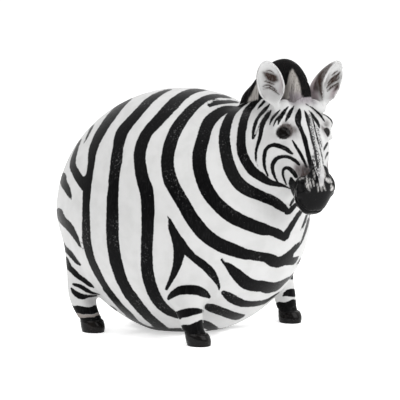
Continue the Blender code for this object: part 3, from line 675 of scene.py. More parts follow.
def ear_frame(flank):
    """The ear's root, its long direction, its width direction and the way its cup faces."""
    root = head_level(flank * EAR_OUT, EAR_ONWARD, EAR_UP)
    tip_out = EAR_OUT + math.sin(EAR_LEAN)
    tip_onward = EAR_ONWARD + math.sin(EAR_NOD)
    long_way = (head_level(flank * tip_out, tip_onward, EAR_UP + math.cos(EAR_LEAN)) - root).normalized()
    cup_out = EAR_OUT + math.sin(EAR_OUTWARD)
    cup_way = head_level(flank * cup_out, EAR_ONWARD + math.cos(EAR_OUTWARD), EAR_UP) - root
    cup_way = (cup_way - long_way * cup_way.dot(long_way)).normalized()
    wide_way = long_way.cross(cup_way).normalized()
    return root, long_way, wide_way, cup_way


def ear_shell(flank):
    """A leaf-shaped ear with a hollow front and a back that swells towards its root."""
    root, long_way, wide_way, cup_way = ear_frame(flank)
    # Share of the length, share of the half-width, share of the back's depth and of the hollow's.
    sections = [
        (-0.14, 0.12, 0.5, 0.0),
        (-0.06, 0.18, 0.8, 0.0),
        (0.02, 0.28, 0.95, 0.1),
        (0.10, 0.50, 1.0, 0.4),
        (0.20, 0.78, 1.0, 0.85),
        (0.34, 0.97, 0.95, 1.0),
        (0.50, 1.00, 0.84, 1.0),
        (0.68, 0.91, 0.64, 0.85),
        (0.82, 0.72, 0.44, 0.6),
        (0.93, 0.46, 0.26, 0.3),
        (0.99, 0.20, 0.12, 0.05),
    ]
    steps = 12
    rings = []
    for share, width, cup, open_share in eased(sections, 2):
        centre = root + long_way * EAR_LENGTH * share
        half = EAR_HALF_WIDTH * width
        depth = EAR_BACK * cup
        hollow = EAR_HOLLOW * open_share
        ring = []
        for i in range(steps + 1):
            turn = math.pi * i / steps
            back = centre - cup_way * math.sin(turn) * depth
            ring.append(back + wide_way * math.cos(turn) * half)
        for i in range(steps + 1):
            turn = math.pi * (steps - i) / steps
            inner = centre + cup_way * (EAR_RIM - math.sin(turn) * hollow)
            ring.append(inner + wide_way * math.cos(turn) * half * 0.86)
        rings.append(ring)
    return mesh_of(rings)


def mane_shell():
    """The clipped mane: a thick crest on the neck's back line that ends as the forelock."""
    # Right, forward, base height, top height and half-thickness of each section.
    sections = [
        (0.0, 70.5, 217.0, 226.0, 3.5),
        (0.0, 75.5, 216.0, 234.0, 5.5),
        (0.0, 85.0, 214.0, 244.0, 6.5),
        (0.0, 96.8, 212.0, 256.0, 7.5),
        (1.0, 110.0, 210.0, 264.5, 8.0),
        (2.0, 124.0, 208.0, 267.0, 8.5),
        (4.0, 136.0, 206.0, 262.0, 9.5),
        (6.5, 144.5, 206.0, 251.5, 9.5),
        (8.5, 148.5, 206.0, 239.5, 8.5),
        (10.0, 150.5, 206.0, 227.0, 6.5),
    ]
    rings = []
    for right, forward, base, top, half in eased(sections):
        turn = HEAD_TURN * min(1.0, max(0.0, (forward - 100.0) / 45.0))
        side = place(math.cos(turn), -math.sin(turn), 0) * half
        front = place(0, 0, (top - base) / 2)
        rings.append(oval_ring(place(right, forward, (top + base) / 2), side, front, power=0.8))
    return mesh_of(rings)


def leg_shell(sections, flank):
    """A leg down to its fetlock, by right, forward, up, half-width and half-length of each section."""
    rings = []
    for right, forward, up, half_width, half_length in eased(sections):
        centre = place(flank * right, forward, up)
        rings.append(oval_ring(centre, place(half_width, 0, 0), place(0, half_length, 0)))
    return mesh_of(rings)


def fore_leg(flank):
    sections = [
        (56.0, 42.0, 98.0, 26.0, 30.0),
        (65.0, 53.0, 72.0, 25.0, 27.0),
        (73.0, 59.0, 52.0, 20.0, 22.0),
        (77.5, 63.5, 38.0, 15.5, 16.5),
        (79.0, 68.5, 29.0, 12.2, 12.8),
        (79.0, 71.0, 20.0, 10.5, 11.0),
        (78.5, 73.0, 13.5, 9.8, 10.4),
        (78.0, 76.0, 11.0, 10.6, 11.4),
        (77.5, 77.5, 6.0, 11.2, 12.4),
        (77.0, 78.0, 1.5, 10.6, 12.0),
        (77.0, 78.0, -2.5, 9.5, 10.8),
    ]
    return leg_shell(sections, flank)


def hind_leg(flank):
    sections = [
        (58.0, -46.0, 120.0, 32.0, 42.0),
        (69.0, -54.0, 90.0, 29.0, 35.0),
        (79.0, -58.5, 62.0, 18.5, 22.5),
        (83.5, -61.0, 46.0, 14.5, 16.8),
        (84.5, -61.3, 36.0, 13.4, 15.0),
        (84.0, -58.2, 25.0, 12.2, 13.3),
        (83.5, -52.6, 15.0, 10.8, 11.8),
        (83.0, -49.5, 11.5, 11.0, 12.0),
        (83.0, -48.0, 6.0, 11.0, 12.6),
        (83.0, -47.5, 1.5, 10.2, 12.2),
        (83.0, -47.5, -2.5, 9.0, 11.0),
    ]
    return leg_shell(sections, flank)


def tail_spot(share):
    """The tail's middle and radius at a share of its length."""
    rise = math.radians(34.0 - 62.0 * share)
    reach = 1.0 if share < 0.6 else 1.0 - 0.03 * (share - 0.6)
    back = -BODY_HALF_LENGTH * math.cos(rise) * reach
    up = BODY_CENTRE_UP + BODY_HALF_HEIGHT * math.sin(rise) * reach
    radius = 2.5 if share == 1.0 else 4.5 + 3.5 * math.sin(math.pi * max(0.0, share - 0.45) / 0.62) ** 2
    return place(0, back, up), radius


def tail_shell():
    """The tail, lying on the rump as a low relief that ends in a tuft."""
    spots = [tail_spot(i / 14) for i in range(15)]
    return tube([spot[0] for spot in spots], [spot[1] for spot in spots])


def shells():
    """Every closed skin that the casting is built up from."""
    made = [body_shell(), neck_shell(), head_shell(), mane_shell(), tail_shell()]
    for flank in (1, -1):
        made.append(fore_leg(flank))
        made.append(hind_leg(flank))
        made.append(ear_shell(flank))
        made.append(brow_shell(flank))
        made.append(lid_shell(flank, 40))
        made.append(lid_shell(flank, -36))
        made.append(ball_shell(head_point(flank * EYE_OUT, EYE_ALONG, EYE_FRONT), EYE_RADIUS))
        made.append(ball_shell(head_level(flank * EAR_BASE_OUT, EAR_ONWARD, EAR_BASE_UP), EAR_BASE_RADIUS))
    return made


def fused(meshes, grain):
    """The skins joined into one closed surface, with corners about grain apart."""
    gathered = bmesh.new()
    for mesh in meshes:
        gathered.from_mesh(mesh)
        bpy.data.meshes.remove(mesh)
    joined = bpy.data.meshes.new("joined")
    gathered.to_mesh(joined)
    gathered.free()
    rough = bpy.data.objects.new("rough", joined)
    bpy.context.collection.objects.link(rough)
    remesh = rough.modifiers.new("union", "REMESH")
    remesh.mode = "VOXEL"
    remesh.voxel_size = grain
    graph = bpy.context.evaluated_depsgraph_get()
    mesh = bpy.data.meshes.new_from_object(rough.evaluated_get(graph))
    bpy.data.objects.remove(rough)
    bpy.data.meshes.remove(joined)
    return mesh


def corners_of(mesh):
    points = np.empty(len(mesh.vertices) * 3)
    mesh.vertices.foreach_get("co", points)
    return points.reshape(-1, 3)


def normals_of(mesh):
    normals = np.empty(len(mesh.vertices) * 3)
    mesh.vertices.foreach_get("normal", normals)
    return normals.reshape(-1, 3)


def set_corners(mesh, points):
    mesh.vertices.foreach_set("co", points.ravel())
    mesh.update()


def edges_of(mesh):
    ends = np.empty(len(mesh.edges) * 2, dtype=np.int64)
    mesh.edges.foreach_get("vertices", ends)
    return ends.reshape(-1, 2)


def near(points, centre, reach):
    """1 at centre, falling smoothly to 0 at reach."""
    away = np.linalg.norm(points - np.array(centre), axis=1) / reach
    return np.clip(1.0 - away * away, 0.0, 1.0) ** 2


def smooth(mesh, weight, rounds):
    """Moves each corner towards its neighbours' mean, by weight, rounds times."""
    points = corners_of(mesh)
    ends = edges_of(mesh)
    count = len(points)
    links = np.bincount(ends.ravel(), minlength=count).astype(float)
    for _ in range(rounds):
        total = np.zeros_like(points)
        for axis in range(3):
            total[:, axis] = np.bincount(ends[:, 0], points[ends[:, 1], axis], count)
            total[:, axis] += np.bincount(ends[:, 1], points[ends[:, 0], axis], count)
        points += (total / links[:, None] - points) * weight[:, None]
    set_corners(mesh, points)


def behind_face(points):
    """1 on the neck and the body, falling to 0 over the head from its jaw forward."""
    poll = np.array(place(*POLL))
    onward = np.array(head_level(0, 1, 0)) - poll
    return np.clip((-16.0 - (points - poll) @ onward) / 16.0, 0.0, 1.0)


def blend(mesh, grain):
    """Fillets where neck, legs and haunches grow out of the body, and a light finish overall."""
    points = corners_of(mesh)
    strength = np.zeros(len(points))
    for flank in (1, -1):
        for right, forward, up, reach, share in FILLETS:
            by_join = near(points, place(flank * right, forward, up), reach)
            strength = np.maximum(strength, by_join * share)
    strength = np.clip(strength * 2.0, 0.0, 1.0) * 0.6 * behind_face(points)
    smooth(mesh, strength, round((FILLET_REACH / grain) ** 2))
    smooth(mesh, np.full(len(points), 0.5), max(1, round((FINISH_REACH / grain) ** 2)))


def surface_tree(mesh):
    """What finds the nearest point of the surface."""
    faces = [list(face.vertices) for face in mesh.polygons]
    return BVHTree.FromPolygons([vert.co for vert in mesh.vertices], faces)


def snapped(tree, stroke):
    """A stroke's points moved onto the nearest surface, with more between them."""
    fine = []
    for start, end in zip(stroke, stroke[1:]):
        fine += [start.lerp(end, step / 4) for step in range(4)]
    fine.append(stroke[-1])
    return [np.array(tree.find_nearest(point)[0]) for point in fine]


def distance_to(points, stroke):
    """Each corner's distance to the nearest piece of a stroke."""
    best = np.full(len(points), np.inf)
    for start, end in zip(stroke, stroke[1:]):
        run = end - start
        share = np.clip((points - start) @ run / max(1e-9, run @ run), 0.0, 1.0)
        away = np.linalg.norm(points - start - share[:, None] * run, axis=1)
        best = np.minimum(best, away)
    return best


def carve(mesh, strokes):
    """Raises the surface along each stroke, or sinks it where the height is negative.

    A stroke is its points, the half-width of the mark and its height.
    """
    tree = surface_tree(mesh)
    points = corners_of(mesh)
    lift = np.zeros(len(points))
    for stroke, half_width, height in strokes:
        line = snapped(tree, stroke)
        low = np.min(line, axis=0) - half_width
        high = np.max(line, axis=0) + half_width
        close = np.where(((points > low) & (points < high)).all(axis=1))[0]
        away = distance_to(points[close], line) / half_width
        lift[close] += np.clip(1.0 - away * away, 0.0, 1.0) ** 2 * height
    set_corners(mesh, points + normals_of(mesh) * lift[:, None])


def face_strokes():
    """Nostrils, mouth, jaw and the hollows beside the bridge, on both sides."""
    strokes = []
    for flank in (1, -1):
        for spots, half_width, height in FACE_STROKES:
            line = [head_point(flank * out, along, front) for out, along, front in spots]
            strokes.append((line, half_width, height))
    return strokes


def mane_strokes():
    """The grooves between the upright locks on both sides of the mane."""
    strokes = []
    for flank in (1, -1):
        for i in range(LOCK_GROOVES):
            forward = FIRST_LOCK + i * LOCK_SPACING
            turn = max(0.0, forward - 120.0) * 0.3
            low = place(flank * 9 + turn, forward - 3, 229)
            high = place(flank * 5 + turn, forward + 1, 252)
            strokes.append(([low, high], LOCK_HALF_WIDTH, LOCK_HEIGHT))
    return strokes


def foot_strokes():
    """The coronet, a shallow groove all round where each hoof begins."""
    strokes = []
    for right, forward in CORONET_SPOTS:
        for flank in (1, -1):
            ring = []
            for turn in np.linspace(0, 2 * math.pi, 13):
                across = CORONET_RADIUS * math.cos(turn)
                ahead = CORONET_RADIUS * math.sin(turn)
                ring.append(place(flank * right + across, forward + ahead, CORONET_UP))
            strokes.append((ring, CORONET_HALF_WIDTH, CORONET_HEIGHT))
    return strokes


def casting(grain):
    """The whole figure in parts of its height, before the soles are cut."""
    mesh = fused(shells(), grain)
    blend(mesh, grain)
    carve(mesh, face_strokes() + mane_strokes() + foot_strokes())
    return mesh


def thinned(mesh, triangles):
    """The same surface with about this many triangles, closest together on the head and the legs."""
    points = corners_of(mesh)
    fine = near(points, head_point(*HEAD_MIDDLE), HEAD_REACH) ** 0.25
    for flank in (1, -1):
        for right, forward in (FORE_LEG_SPOT, HIND_LEG_SPOT):
            by_leg = near(points, place(flank * right, forward, LEG_MIDDLE_UP), LEG_DETAIL_REACH)
            fine = np.maximum(fine, by_leg ** 0.25)
    thick = bpy.data.objects.new("thick", mesh)
    bpy.context.collection.objects.link(thick)
    plain = thick.vertex_groups.new(name="plain")
    for level in range(DETAIL_LEVELS + 1):
        chosen = np.where(np.round(fine * DETAIL_LEVELS) == level)[0]
        plain.add([int(i) for i in chosen], 1.0 - DETAIL_SHARE * level / DETAIL_LEVELS, "REPLACE")
    decimate = thick.modifiers.new("thin", "DECIMATE")
    decimate.vertex_group = plain.name
    decimate.vertex_group_factor = 1.0
    decimate.ratio = triangles / (2.0 * len(mesh.polygons))
    graph = bpy.context.evaluated_depsgraph_get()
    thin = bpy.data.meshes.new_from_object(thick.evaluated_get(graph))
    bpy.data.objects.remove(thick)
    return thin


def with_soles(mesh):
    """The surface cut level under the hooves and closed there."""
    cut = bmesh.new()
    cut.from_mesh(mesh)
    whole = cut.verts[:] + cut.edges[:] + cut.faces[:]
    bmesh.ops.bisect_plane(
        cut, geom=whole, dist=1e-4, plane_co=(0, 0, SOLE_LEVEL), plane_no=(0, 0, 1), clear_inner=True
    )
    rims = [edge for edge in cut.edges if edge.is_boundary]
    bmesh.ops.contextual_create(cut, geom=rims)
    bmesh.ops.dissolve_degenerate(cut, dist=SHORT_EDGE, edges=cut.edges[:])
    bmesh.ops.triangulate(cut, faces=cut.faces[:])
    cut.to_mesh(mesh)
    cut.free()
    return mesh


def direction(azimuth, elevation):
    """The direction from the figure's middle at an azimuth, from its front, and an elevation."""
    level = math.cos(elevation)
    return Vector((math.sin(azimuth) * level, -math.cos(azimuth) * level, math.sin(elevation)))


def view_axes():
    """Towards the camera, right and up in the photograph's view."""
    back = direction(VIEW_AZIMUTH, VIEW_ELEVATION)
    right = Vector((math.cos(VIEW_AZIMUTH), math.sin(VIEW_AZIMUTH), 0.0))
    return back, right, back.cross(right)


def view_place():
    """Where the photograph's camera stands, in parts."""
    back, right, up = view_axes()
    return place(0, 0, BODY_CENTRE_UP) + right * VIEW_RIGHT + up * VIEW_UP + back * VIEW_AWAY


def seen(tree, x, y):
    """The point of the casting that shows at a pixel of the photograph, or None."""
    back, right, up = view_axes()
    way = right * (x - PHOTO_SIDE / 2) + up * (PHOTO_SIDE / 2 - y) - back * VIEW_AWAY
    return tree.ray_cast(view_place(), way.normalized())[0]


def pixels_of(points):
    """Where points show in the photograph's view."""
    back, right, up = (np.array(axis) for axis in view_axes())
    away = points - np.array(view_place())
    deep = -(away @ back)
    x = PHOTO_SIDE / 2 + (away @ right) * VIEW_AWAY / deep
    y = PHOTO_SIDE / 2 - (away @ up) * VIEW_AWAY / deep
    return x, y


def curved(run, step):
    """More points on a smooth curve through a run. The last number of each is a width."""
    spots = np.array(run, dtype=float)
    longest = np.linalg.norm(np.diff(spots[:, :-1], axis=0), axis=1).max()
    return np.array(eased(spots, max(1, round(longest / step))))


def laid(tree, run):
    """A mark of the photograph as points on the casting with half-widths, all in parts."""
    fine = curved(run, MARK_STEP)
    line = []
    for i, (x, y, width) in enumerate(fine):
        onward = fine[min(i + 1, len(fine) - 1)] - fine[max(i - 1, 0)]
        across = np.array((-onward[1], onward[0])) / max(0.01, math.hypot(onward[0], onward[1])) * width / 2
        left = seen(tree, x + across[0], y + across[1])
        right = seen(tree, x - across[0], y - across[1])
        middle = seen(tree, x, y)
        if left is not None and right is not None and (left - right).length < 2.6 * width + 2:
            line.append([*((left + right) / 2), min((left - right).length / 2, width * 0.8)])
        elif middle is not None:
            line.append([*middle, width / 2])
    line = np.array(line).reshape(-1, 4)
    if len(line) < 3:
        return line
    wide = np.convolve(np.pad(line[:, 3], 1, mode="edge"), (0.25, 0.5, 0.25), mode="valid")
    line[1:-1, 3] = wide[1:-1]
    return line


def rump_line(tree, run):
    """A mark of the hidden rump as points on the casting with half-widths, all in parts."""
    line = []
    for right, up, width in curved(run, MARK_STEP):
        out = right / BODY_HALF_WIDTH
        rise = (up - BODY_CENTRE_UP) / BODY_HALF_HEIGHT
        back = BODY_HALF_LENGTH * math.sqrt(max(0.05, 1 - out * out - rise * rise))
        spot = tree.find_nearest(place(right, -back, up))[0]
        line.append([*spot, width / 2])
    return np.array(line)


def edge_distance(points, line):
    """Each point's distance to a mark's edge, under 0 inside it and at most FAR."""
    found = np.full(len(points), FAR)
    if len(line) < 2:
        return found
    reach = line[:, 3].max() + FAR
    low = line[:, :3].min(axis=0) - reach
    high = line[:, :3].max(axis=0) + reach
    close = np.where(((points > low) & (points < high)).all(axis=1))[0]
    spots = points[close]
    best = np.full(len(close), FAR)
    for start, end in zip(line, line[1:]):
        run = end[:3] - start[:3]
        if run @ run > MARK_GAP ** 2:
            continue
        share = np.clip((spots - start[:3]) @ run / max(1e-9, run @ run), 0.0, 1.0)
        away = np.linalg.norm(spots - start[:3] - share[:, None] * run, axis=1)
        best = np.minimum(best, away - start[3] - share * (end[3] - start[3]))
    found[close] = best
    return found


def nearest_edge(points, lines):
    """Each point's distance to the nearest edge of several marks."""
    best = np.full(len(points), FAR)
    for line in lines:
        best = np.minimum(best, edge_distance(points, line))
    return best


def soft(value, inside, outside):
    """1 where value is at inside or past it, falling smoothly to 0 at outside."""
    share = np.clip((outside - value) / (outside - inside), 0.0, 1.0)
    return share * share * (3 - 2 * share)


def head_places(points):
    """Each point by the head's out, along and front."""
    poll = np.array(head_point(0, 0, 0))
    ways = [head_point(1, 0, 0), head_point(0, 1, 0), head_point(0, 0, 1)]
    return tuple((points - poll) @ (np.array(way) - poll) for way in ways)


def on_right(points):
    """The points, with those of the animal's left side moved to their mirror places on its right."""
    own = points.copy()
    own[:, 0] = -np.abs(own[:, 0])
    return own


def on_near_cheek(points):
    """The points, with those of the head's left half moved to their mirror places on its right half."""
    out = head_places(points)[0]
    across = np.array(head_point(1, 0, 0) - head_point(0, 0, 0))
    return points - np.minimum(0.0, 2 * out)[:, None] * across


def edge_in_view(points, runs):
    """Each point's distance, in the photograph's pixels, to the nearest edge of its marks."""
    x, y = pixels_of(points)
    flat = np.column_stack([x, y, np.zeros(len(points))])
    lines = []
    for run in runs:
        fine = curved(run, MARK_STEP)
        lines.append(np.column_stack([fine[:, 0], fine[:, 1], np.zeros(len(fine)), fine[:, 2] / 2]))
    return nearest_edge(flat, lines)


def in_view(tree, points, normals):
    """How squarely each point faces the photograph's camera, and 0 where something hides it."""
    shown = soft(-(normals @ np.array(view_axes()[0])), -0.14, -0.02)
    camera_spot = view_place()
    for i in np.where(shown > 0)[0]:
        way = (camera_spot - Vector(points[i])).normalized()
        if tree.ray_cast(Vector(points[i]) + way * 3.0, way)[0] is not None:
            shown[i] = 0.0
    return shown


def marks_edge(tree, points, shown, runs, more=()):
    """Distance to the edge of marks: as the photograph has them in view, and on the surface elsewhere."""
    on_surface = nearest_edge(points, [laid(tree, run) for run in runs] + list(more))
    as_seen = np.minimum(edge_in_view(points, runs), on_surface + FAR * shown)
    return shown * as_seen + (1 - shown) * on_surface


def hidden_marks(tree):
    """The marks of the rump beyond the photograph's view, as lines on the casting."""
    lines = [rump_line(tree, hidden) for hidden in HIDDEN_RUMP_MARKS]
    for hidden, visible in RUMP_MARKS:
        lines.append(np.vstack([rump_line(tree, hidden), laid(tree, visible[:2])]))
    return lines


def body_marks(tree, points, normals):
    """Distance to the edge of the stripes of body and neck, the same on both sides."""
    own = on_right(points)
    own_normals = normals.copy()
    own_normals[:, 0] *= np.where(points[:, 0] > 0, -1.0, 1.0)
    shown = in_view(tree, own, own_normals)
    runs = BODY_STRIPES + [visible for _, visible in RUMP_MARKS]
    same = marks_edge(tree, own, shown, runs, hidden_marks(tree))
    # On the back the view reaches past the spine, so there the left side's stripes give way.
    facing = normals @ np.array(view_axes()[0])
    left = points[:, 0] > 0
    top = left & (normals[:, 2] > 0.4) & (points[:, 2] > BACK_UP) & (points[:, 1] > -NAPE_FORWARD)
    same = np.where(top, same + 1.2 * BODY_HALF_HEIGHT * np.maximum(0.0, facing), same)
    over = np.where(top & (facing > -0.02), edge_in_view(points, runs), FAR)
    same = np.minimum(same, over)
    # Of the left half of the chest the photograph shows a strip, with marks of its own.
    near_chest = (points[:, 0] > -CHEST_RIGHT) & (points[:, 1] < -CHEST_FORWARD)
    chest = np.where(near_chest, in_view(tree, points, normals), 0.0)
    same = (1 - chest) * same + chest * edge_in_view(points, BODY_STRIPES + LEFT_CHEST_MARKS)
    inner = nearest_edge(points, [laid(tree, run) for run in LEFT_LEG_MARKS])
    # Over the hind leg the surface turns sharply, so there only the view places the marks.
    squarely = own_normals @ np.array(view_axes()[0]) > 0.05
    haunch = squarely & (own[:, 0] < -HAUNCH_RIGHT) & (own[:, 1] > HAUNCH_BACK) & (own[:, 2] < HAUNCH_UP)
    same = np.minimum(same, np.where(haunch, edge_in_view(own, HAUNCH_MARKS), FAR))
    return np.minimum(same, inner)


def leg_marks(points):
    """Distance to the edge of the socks and the hind legs' bands, and the shares of hoof and pale ring."""
    right = np.abs(points[:, 0])
    forward = -points[:, 1]
    level = points[:, 2] + 0.5 * np.sin(points[:, 0] * 0.55) + 0.4 * np.cos(points[:, 1] * 0.5)
    fore = np.hypot(right - FORE_LEG_SPOT[0], forward - FORE_LEG_SPOT[1]) < LEG_REACH
    hind = np.hypot(right - HIND_LEG_SPOT[0], forward - HIND_LEG_SPOT[1]) < LEG_REACH
    band = np.maximum(level - HIND_BAND_TOP, HIND_BAND_LOW - level)
    edge = np.full(len(points), FAR)
    edge = np.where(fore, level - FORE_SOCK - SOCK_RISE * (forward - FORE_LEG_SPOT[1]), edge)
    sock = level - HIND_SOCK - SOCK_RISE * (forward - HIND_LEG_SPOT[1])
    edge = np.where(hind, np.minimum(sock, band), edge)
    hoof = soft(points[:, 2], HOOF_TOP - 0.4, HOOF_TOP + 0.4) * (fore | hind)
    ring = soft(level, HIND_BAND_LOW - 0.5, HIND_BAND_LOW + 0.5) * hind
    return np.minimum(edge, FAR), hoof, ring


def belly_marks(points):
    """Distance to the edge of the dark patch under the belly."""
    flat = np.hypot(points[:, 0], points[:, 1]) + 2.0 * np.sin(np.arctan2(points[:, 1], points[:, 0]) * 5)
    below = np.where(points[:, 2] < 12, flat - VENTRAL_REACH, FAR)
    return np.clip(below, -FAR, FAR)


def tail_marks(points):
    """Distance to the edge of the tail's bands and tuft."""
    best = np.full(len(points), FAR)
    for i in range(TAIL_STEPS + 1):
        share = i / TAIL_STEPS
        centre, radius = tail_spot(share)
        away = np.linalg.norm(points - np.array(centre), axis=1) - radius - 0.6
        if share < TAIL_TUFT and min(abs(share - band) for band in TAIL_BANDS) > 0.025:
            continue
        best = np.minimum(best, away)
    return np.minimum(best, FAR)


def along_line(line, value):
    """What a line of (value, number) pairs gives at each value."""
    places, numbers = zip(*line)
    return np.interp(value, places, numbers)


def mane_share(points):
    """Shares of the mane, its pale panels and the forelock's grey root, and what lies well within it."""
    forward = -points[:, 1]
    up = points[:, 2]
    aside = np.abs(-points[:, 0] - along_line(MANE_MIDDLE, forward))
    past_side = aside - along_line(MANE_HALF, forward)
    from_centre = np.abs(forward - MANE_CENTRE_FORWARD)
    mane = soft(past_side, 0.5, 2.5)
    mane *= soft(along_line(MANE_BASE, forward) - up, -2.0, 2.5)
    mane *= soft(from_centre, 45, 48)
    # The ridge stays black; the sides carry pale panels.
    front = np.minimum(forward - along_line(FRONT_PANEL_FROM, up), along_line(FRONT_PANEL_TO, up) - forward)
    rear = np.minimum(forward - along_line(REAR_PANEL_FROM, up), REAR_PANEL_TO - forward)
    panel = soft(-np.maximum(front, rear), -1.2, 0.8)
    low = soft(up, FORELOCK_ROOT, FORELOCK_ROOT + 3.5) * (forward > FORELOCK_START)
    panel *= soft(up - along_line(MANE_RIDGE, forward), -6.0, -3.0)
    panel *= np.maximum(soft(-aside, -5.0, -2.5), low)
    root = soft(np.abs(up - FORELOCK_ROOT), 1.0, FORELOCK_REACH)
    root *= soft(-forward, -FORELOCK_START - 8, -FORELOCK_START)
    root *= soft(past_side, 0.0, 5.0) * soft(from_centre, 43, 50)
    return mane, panel * mane, root, past_side < -1.5


def spot_share(points, tree, x, y, reach):
    """1 at what the photograph shows at a pixel, falling smoothly to 0 at reach parts from it."""
    away = np.linalg.norm(points - np.array(seen(tree, x, y)), axis=1)
    return soft(away, reach * 0.25, reach)


def ear_places(points, flank):
    """Each point by an ear's share of length, across and towards its hollow side."""
    root, long_way, wide_way, cup_way = ear_frame(flank)
    away = points - np.array(root)
    return away @ np.array(long_way) / EAR_LENGTH, away @ np.array(wide_way), away @ np.array(cup_way)


def ear_tones(points, normals, facing):
    """Shares of brown, grey and pink on both ears, and of the ears' fine fur."""
    brown = np.zeros(len(points))
    grey = np.zeros(len(points))
    pink = np.zeros(len(points))
    fur = np.zeros(len(points))
    for flank in (1, -1):
        share, across, cup = ear_places(points, flank)
        on_ear = soft(np.abs(share - 0.53), 0.47, 0.55)
        on_ear *= soft(np.abs(across), EAR_HALF_WIDTH + 1, EAR_HALF_WIDTH + 3)
        on_ear *= soft(np.abs(cup + 0.5 * EAR_BACK), 0.5 * EAR_BACK + 4, 0.5 * EAR_BACK + 7)
        cup_way = np.array(ear_frame(flank)[3])
        inside = on_ear * soft(-(normals @ cup_way), -0.2, 0.15) * soft(np.abs(across), 8.5, 11.0)
        behind = on_ear * soft(normals @ cup_way, 0.1, 0.45)
        middle, aside, long_reach, wide_reach = EAR_PATCHES[flank]
        spread = np.hypot((share - middle) * EAR_LENGTH / long_reach, (across - aside) / wide_reach)
        brown = np.maximum(brown, inside * soft(spread, 0.1, 1.0) * 0.45)
        grey = np.maximum(grey, inside * soft(np.abs(share - 0.32), 0.06, 0.22) * 0.2)
        pink = np.maximum(pink, inside * soft(share, 0.2, 0.4) * soft(-np.abs(across), -9.0, -5.0) * 0.2)
        # Behind, a brown band runs along each rim and the swollen root is pinkish grey.
        band = soft(np.abs(cup + 5), 5.0, 8.0) * soft(np.abs(share - 0.55), 0.28, 0.42)
        brown = np.maximum(brown, behind * band * 0.85)
        pink = np.maximum(pink, behind * soft(share, 0.42, 0.62) * soft(cup, -9.0, -5.0))
        fur = np.maximum(fur, on_ear)
    # Where the photograph shows the ears, its own marks lie over these.
    shown = facing * fur
    brown = np.maximum(brown, soft(edge_in_view(points, EAR_BROWN_MARKS), -2.8, 1.6) * shown)
    brown = np.maximum(brown, soft(edge_in_view(points, EAR_HAIRS), -0.6, 0.8) * shown)
    pink = np.maximum(pink, soft(edge_in_view(points, EAR_PINK_MARKS), -2.5, 1.5) * shown * 0.9)
    return brown, grey, pink, fur


def head_marks(tree, points, normals, facing):
    """Distance to the edge of the head's stripes. The far cheek's give way where it shows."""
    out = head_places(points)[0]
    own = on_near_cheek(points)
    across = np.array(head_point(1, 0, 0) - head_point(0, 0, 0))
    own_normals = normals - np.where(out < 0, 2 * (normals @ across), 0.0)[:, None] * across
    cheek = marks_edge(tree, own, in_view(tree, own, own_normals), CHEEK_STRIPES)
    cheek = np.where(out < -2, cheek + (FAR - cheek) * facing, cheek)
    return np.minimum(cheek, marks_edge(tree, points, facing, BRIDGE_STRIPES))


def muzzle_tones(points, facing):
    """Shares of the black muzzle, its pale streaks and painted nostril highlights, and the bridge's
    dry-brushed grey.
    """
    out, along, front = head_places(points)
    aside = np.abs(out - BRIDGE_MIDDLE)
    bridge = soft(aside, BRIDGE_HALF_WIDTH - 2.0, BRIDGE_HALF_WIDTH + 2.0) * soft(-front, -4.0, 2.0)
    start = along_line(MUZZLE_START, front)
    start += (BRIDGE_START - start) * bridge
    before_jaw = front > along_line(JAW_LINE, along) - 0.8
    in_front = before_jaw & (along > MUZZLE_BEYOND) & (np.abs(out) < MUZZLE_HALF_WIDTH)
    muzzle = soft(start - along, -2.5, 2.5) * in_front
    # The muzzle's pale streaks, with painted highlights on the nostrils' rims among them.
    streak_and_highlight = soft(edge_in_view(points, MUZZLE_STREAKS_AND_HIGHLIGHTS), -0.7, 0.6) * facing * in_front
    dust = soft(edge_in_view(points, DUST_MARKS), -0.8, 1.5) * facing * (along > 5)
    return muzzle, streak_and_highlight, dust


def oval_in_view(points, middle, halves):
    """Each point's place in an oval of the photograph: 0 at its middle and 1 on its edge."""
    x, y = pixels_of(points)
    return np.hypot((x - middle[0]) / halves[0], (y - middle[1]) / halves[1])


def eye_tones(points, own, facing):
    """Shares of the eyeballs and of the brown about them, by their outlines in the photograph."""
    middle = np.array(head_point(EYE_OUT, EYE_ALONG, EYE_FRONT))
    by_eye = np.linalg.norm(own - middle, axis=1) < EYE_RADIUS + 4
    eye = soft(oval_in_view(own, EYE_PIXEL, EYE_HALVES), 0.93, 1.05) * by_eye
    socket = soft(oval_in_view(own, SOCKET_PIXEL, SOCKET_HALVES), 0.75, 1.1) * by_eye
    beyond = soft(oval_in_view(points, FAR_EYE_PIXEL, FAR_EYE_HALVES), 0.8, 1.15) * by_eye
    far_side = facing * (head_places(points)[0] < 0)
    eye += (beyond - eye) * far_side
    return eye, np.maximum(socket * 0.85 * (1 - far_side), beyond)


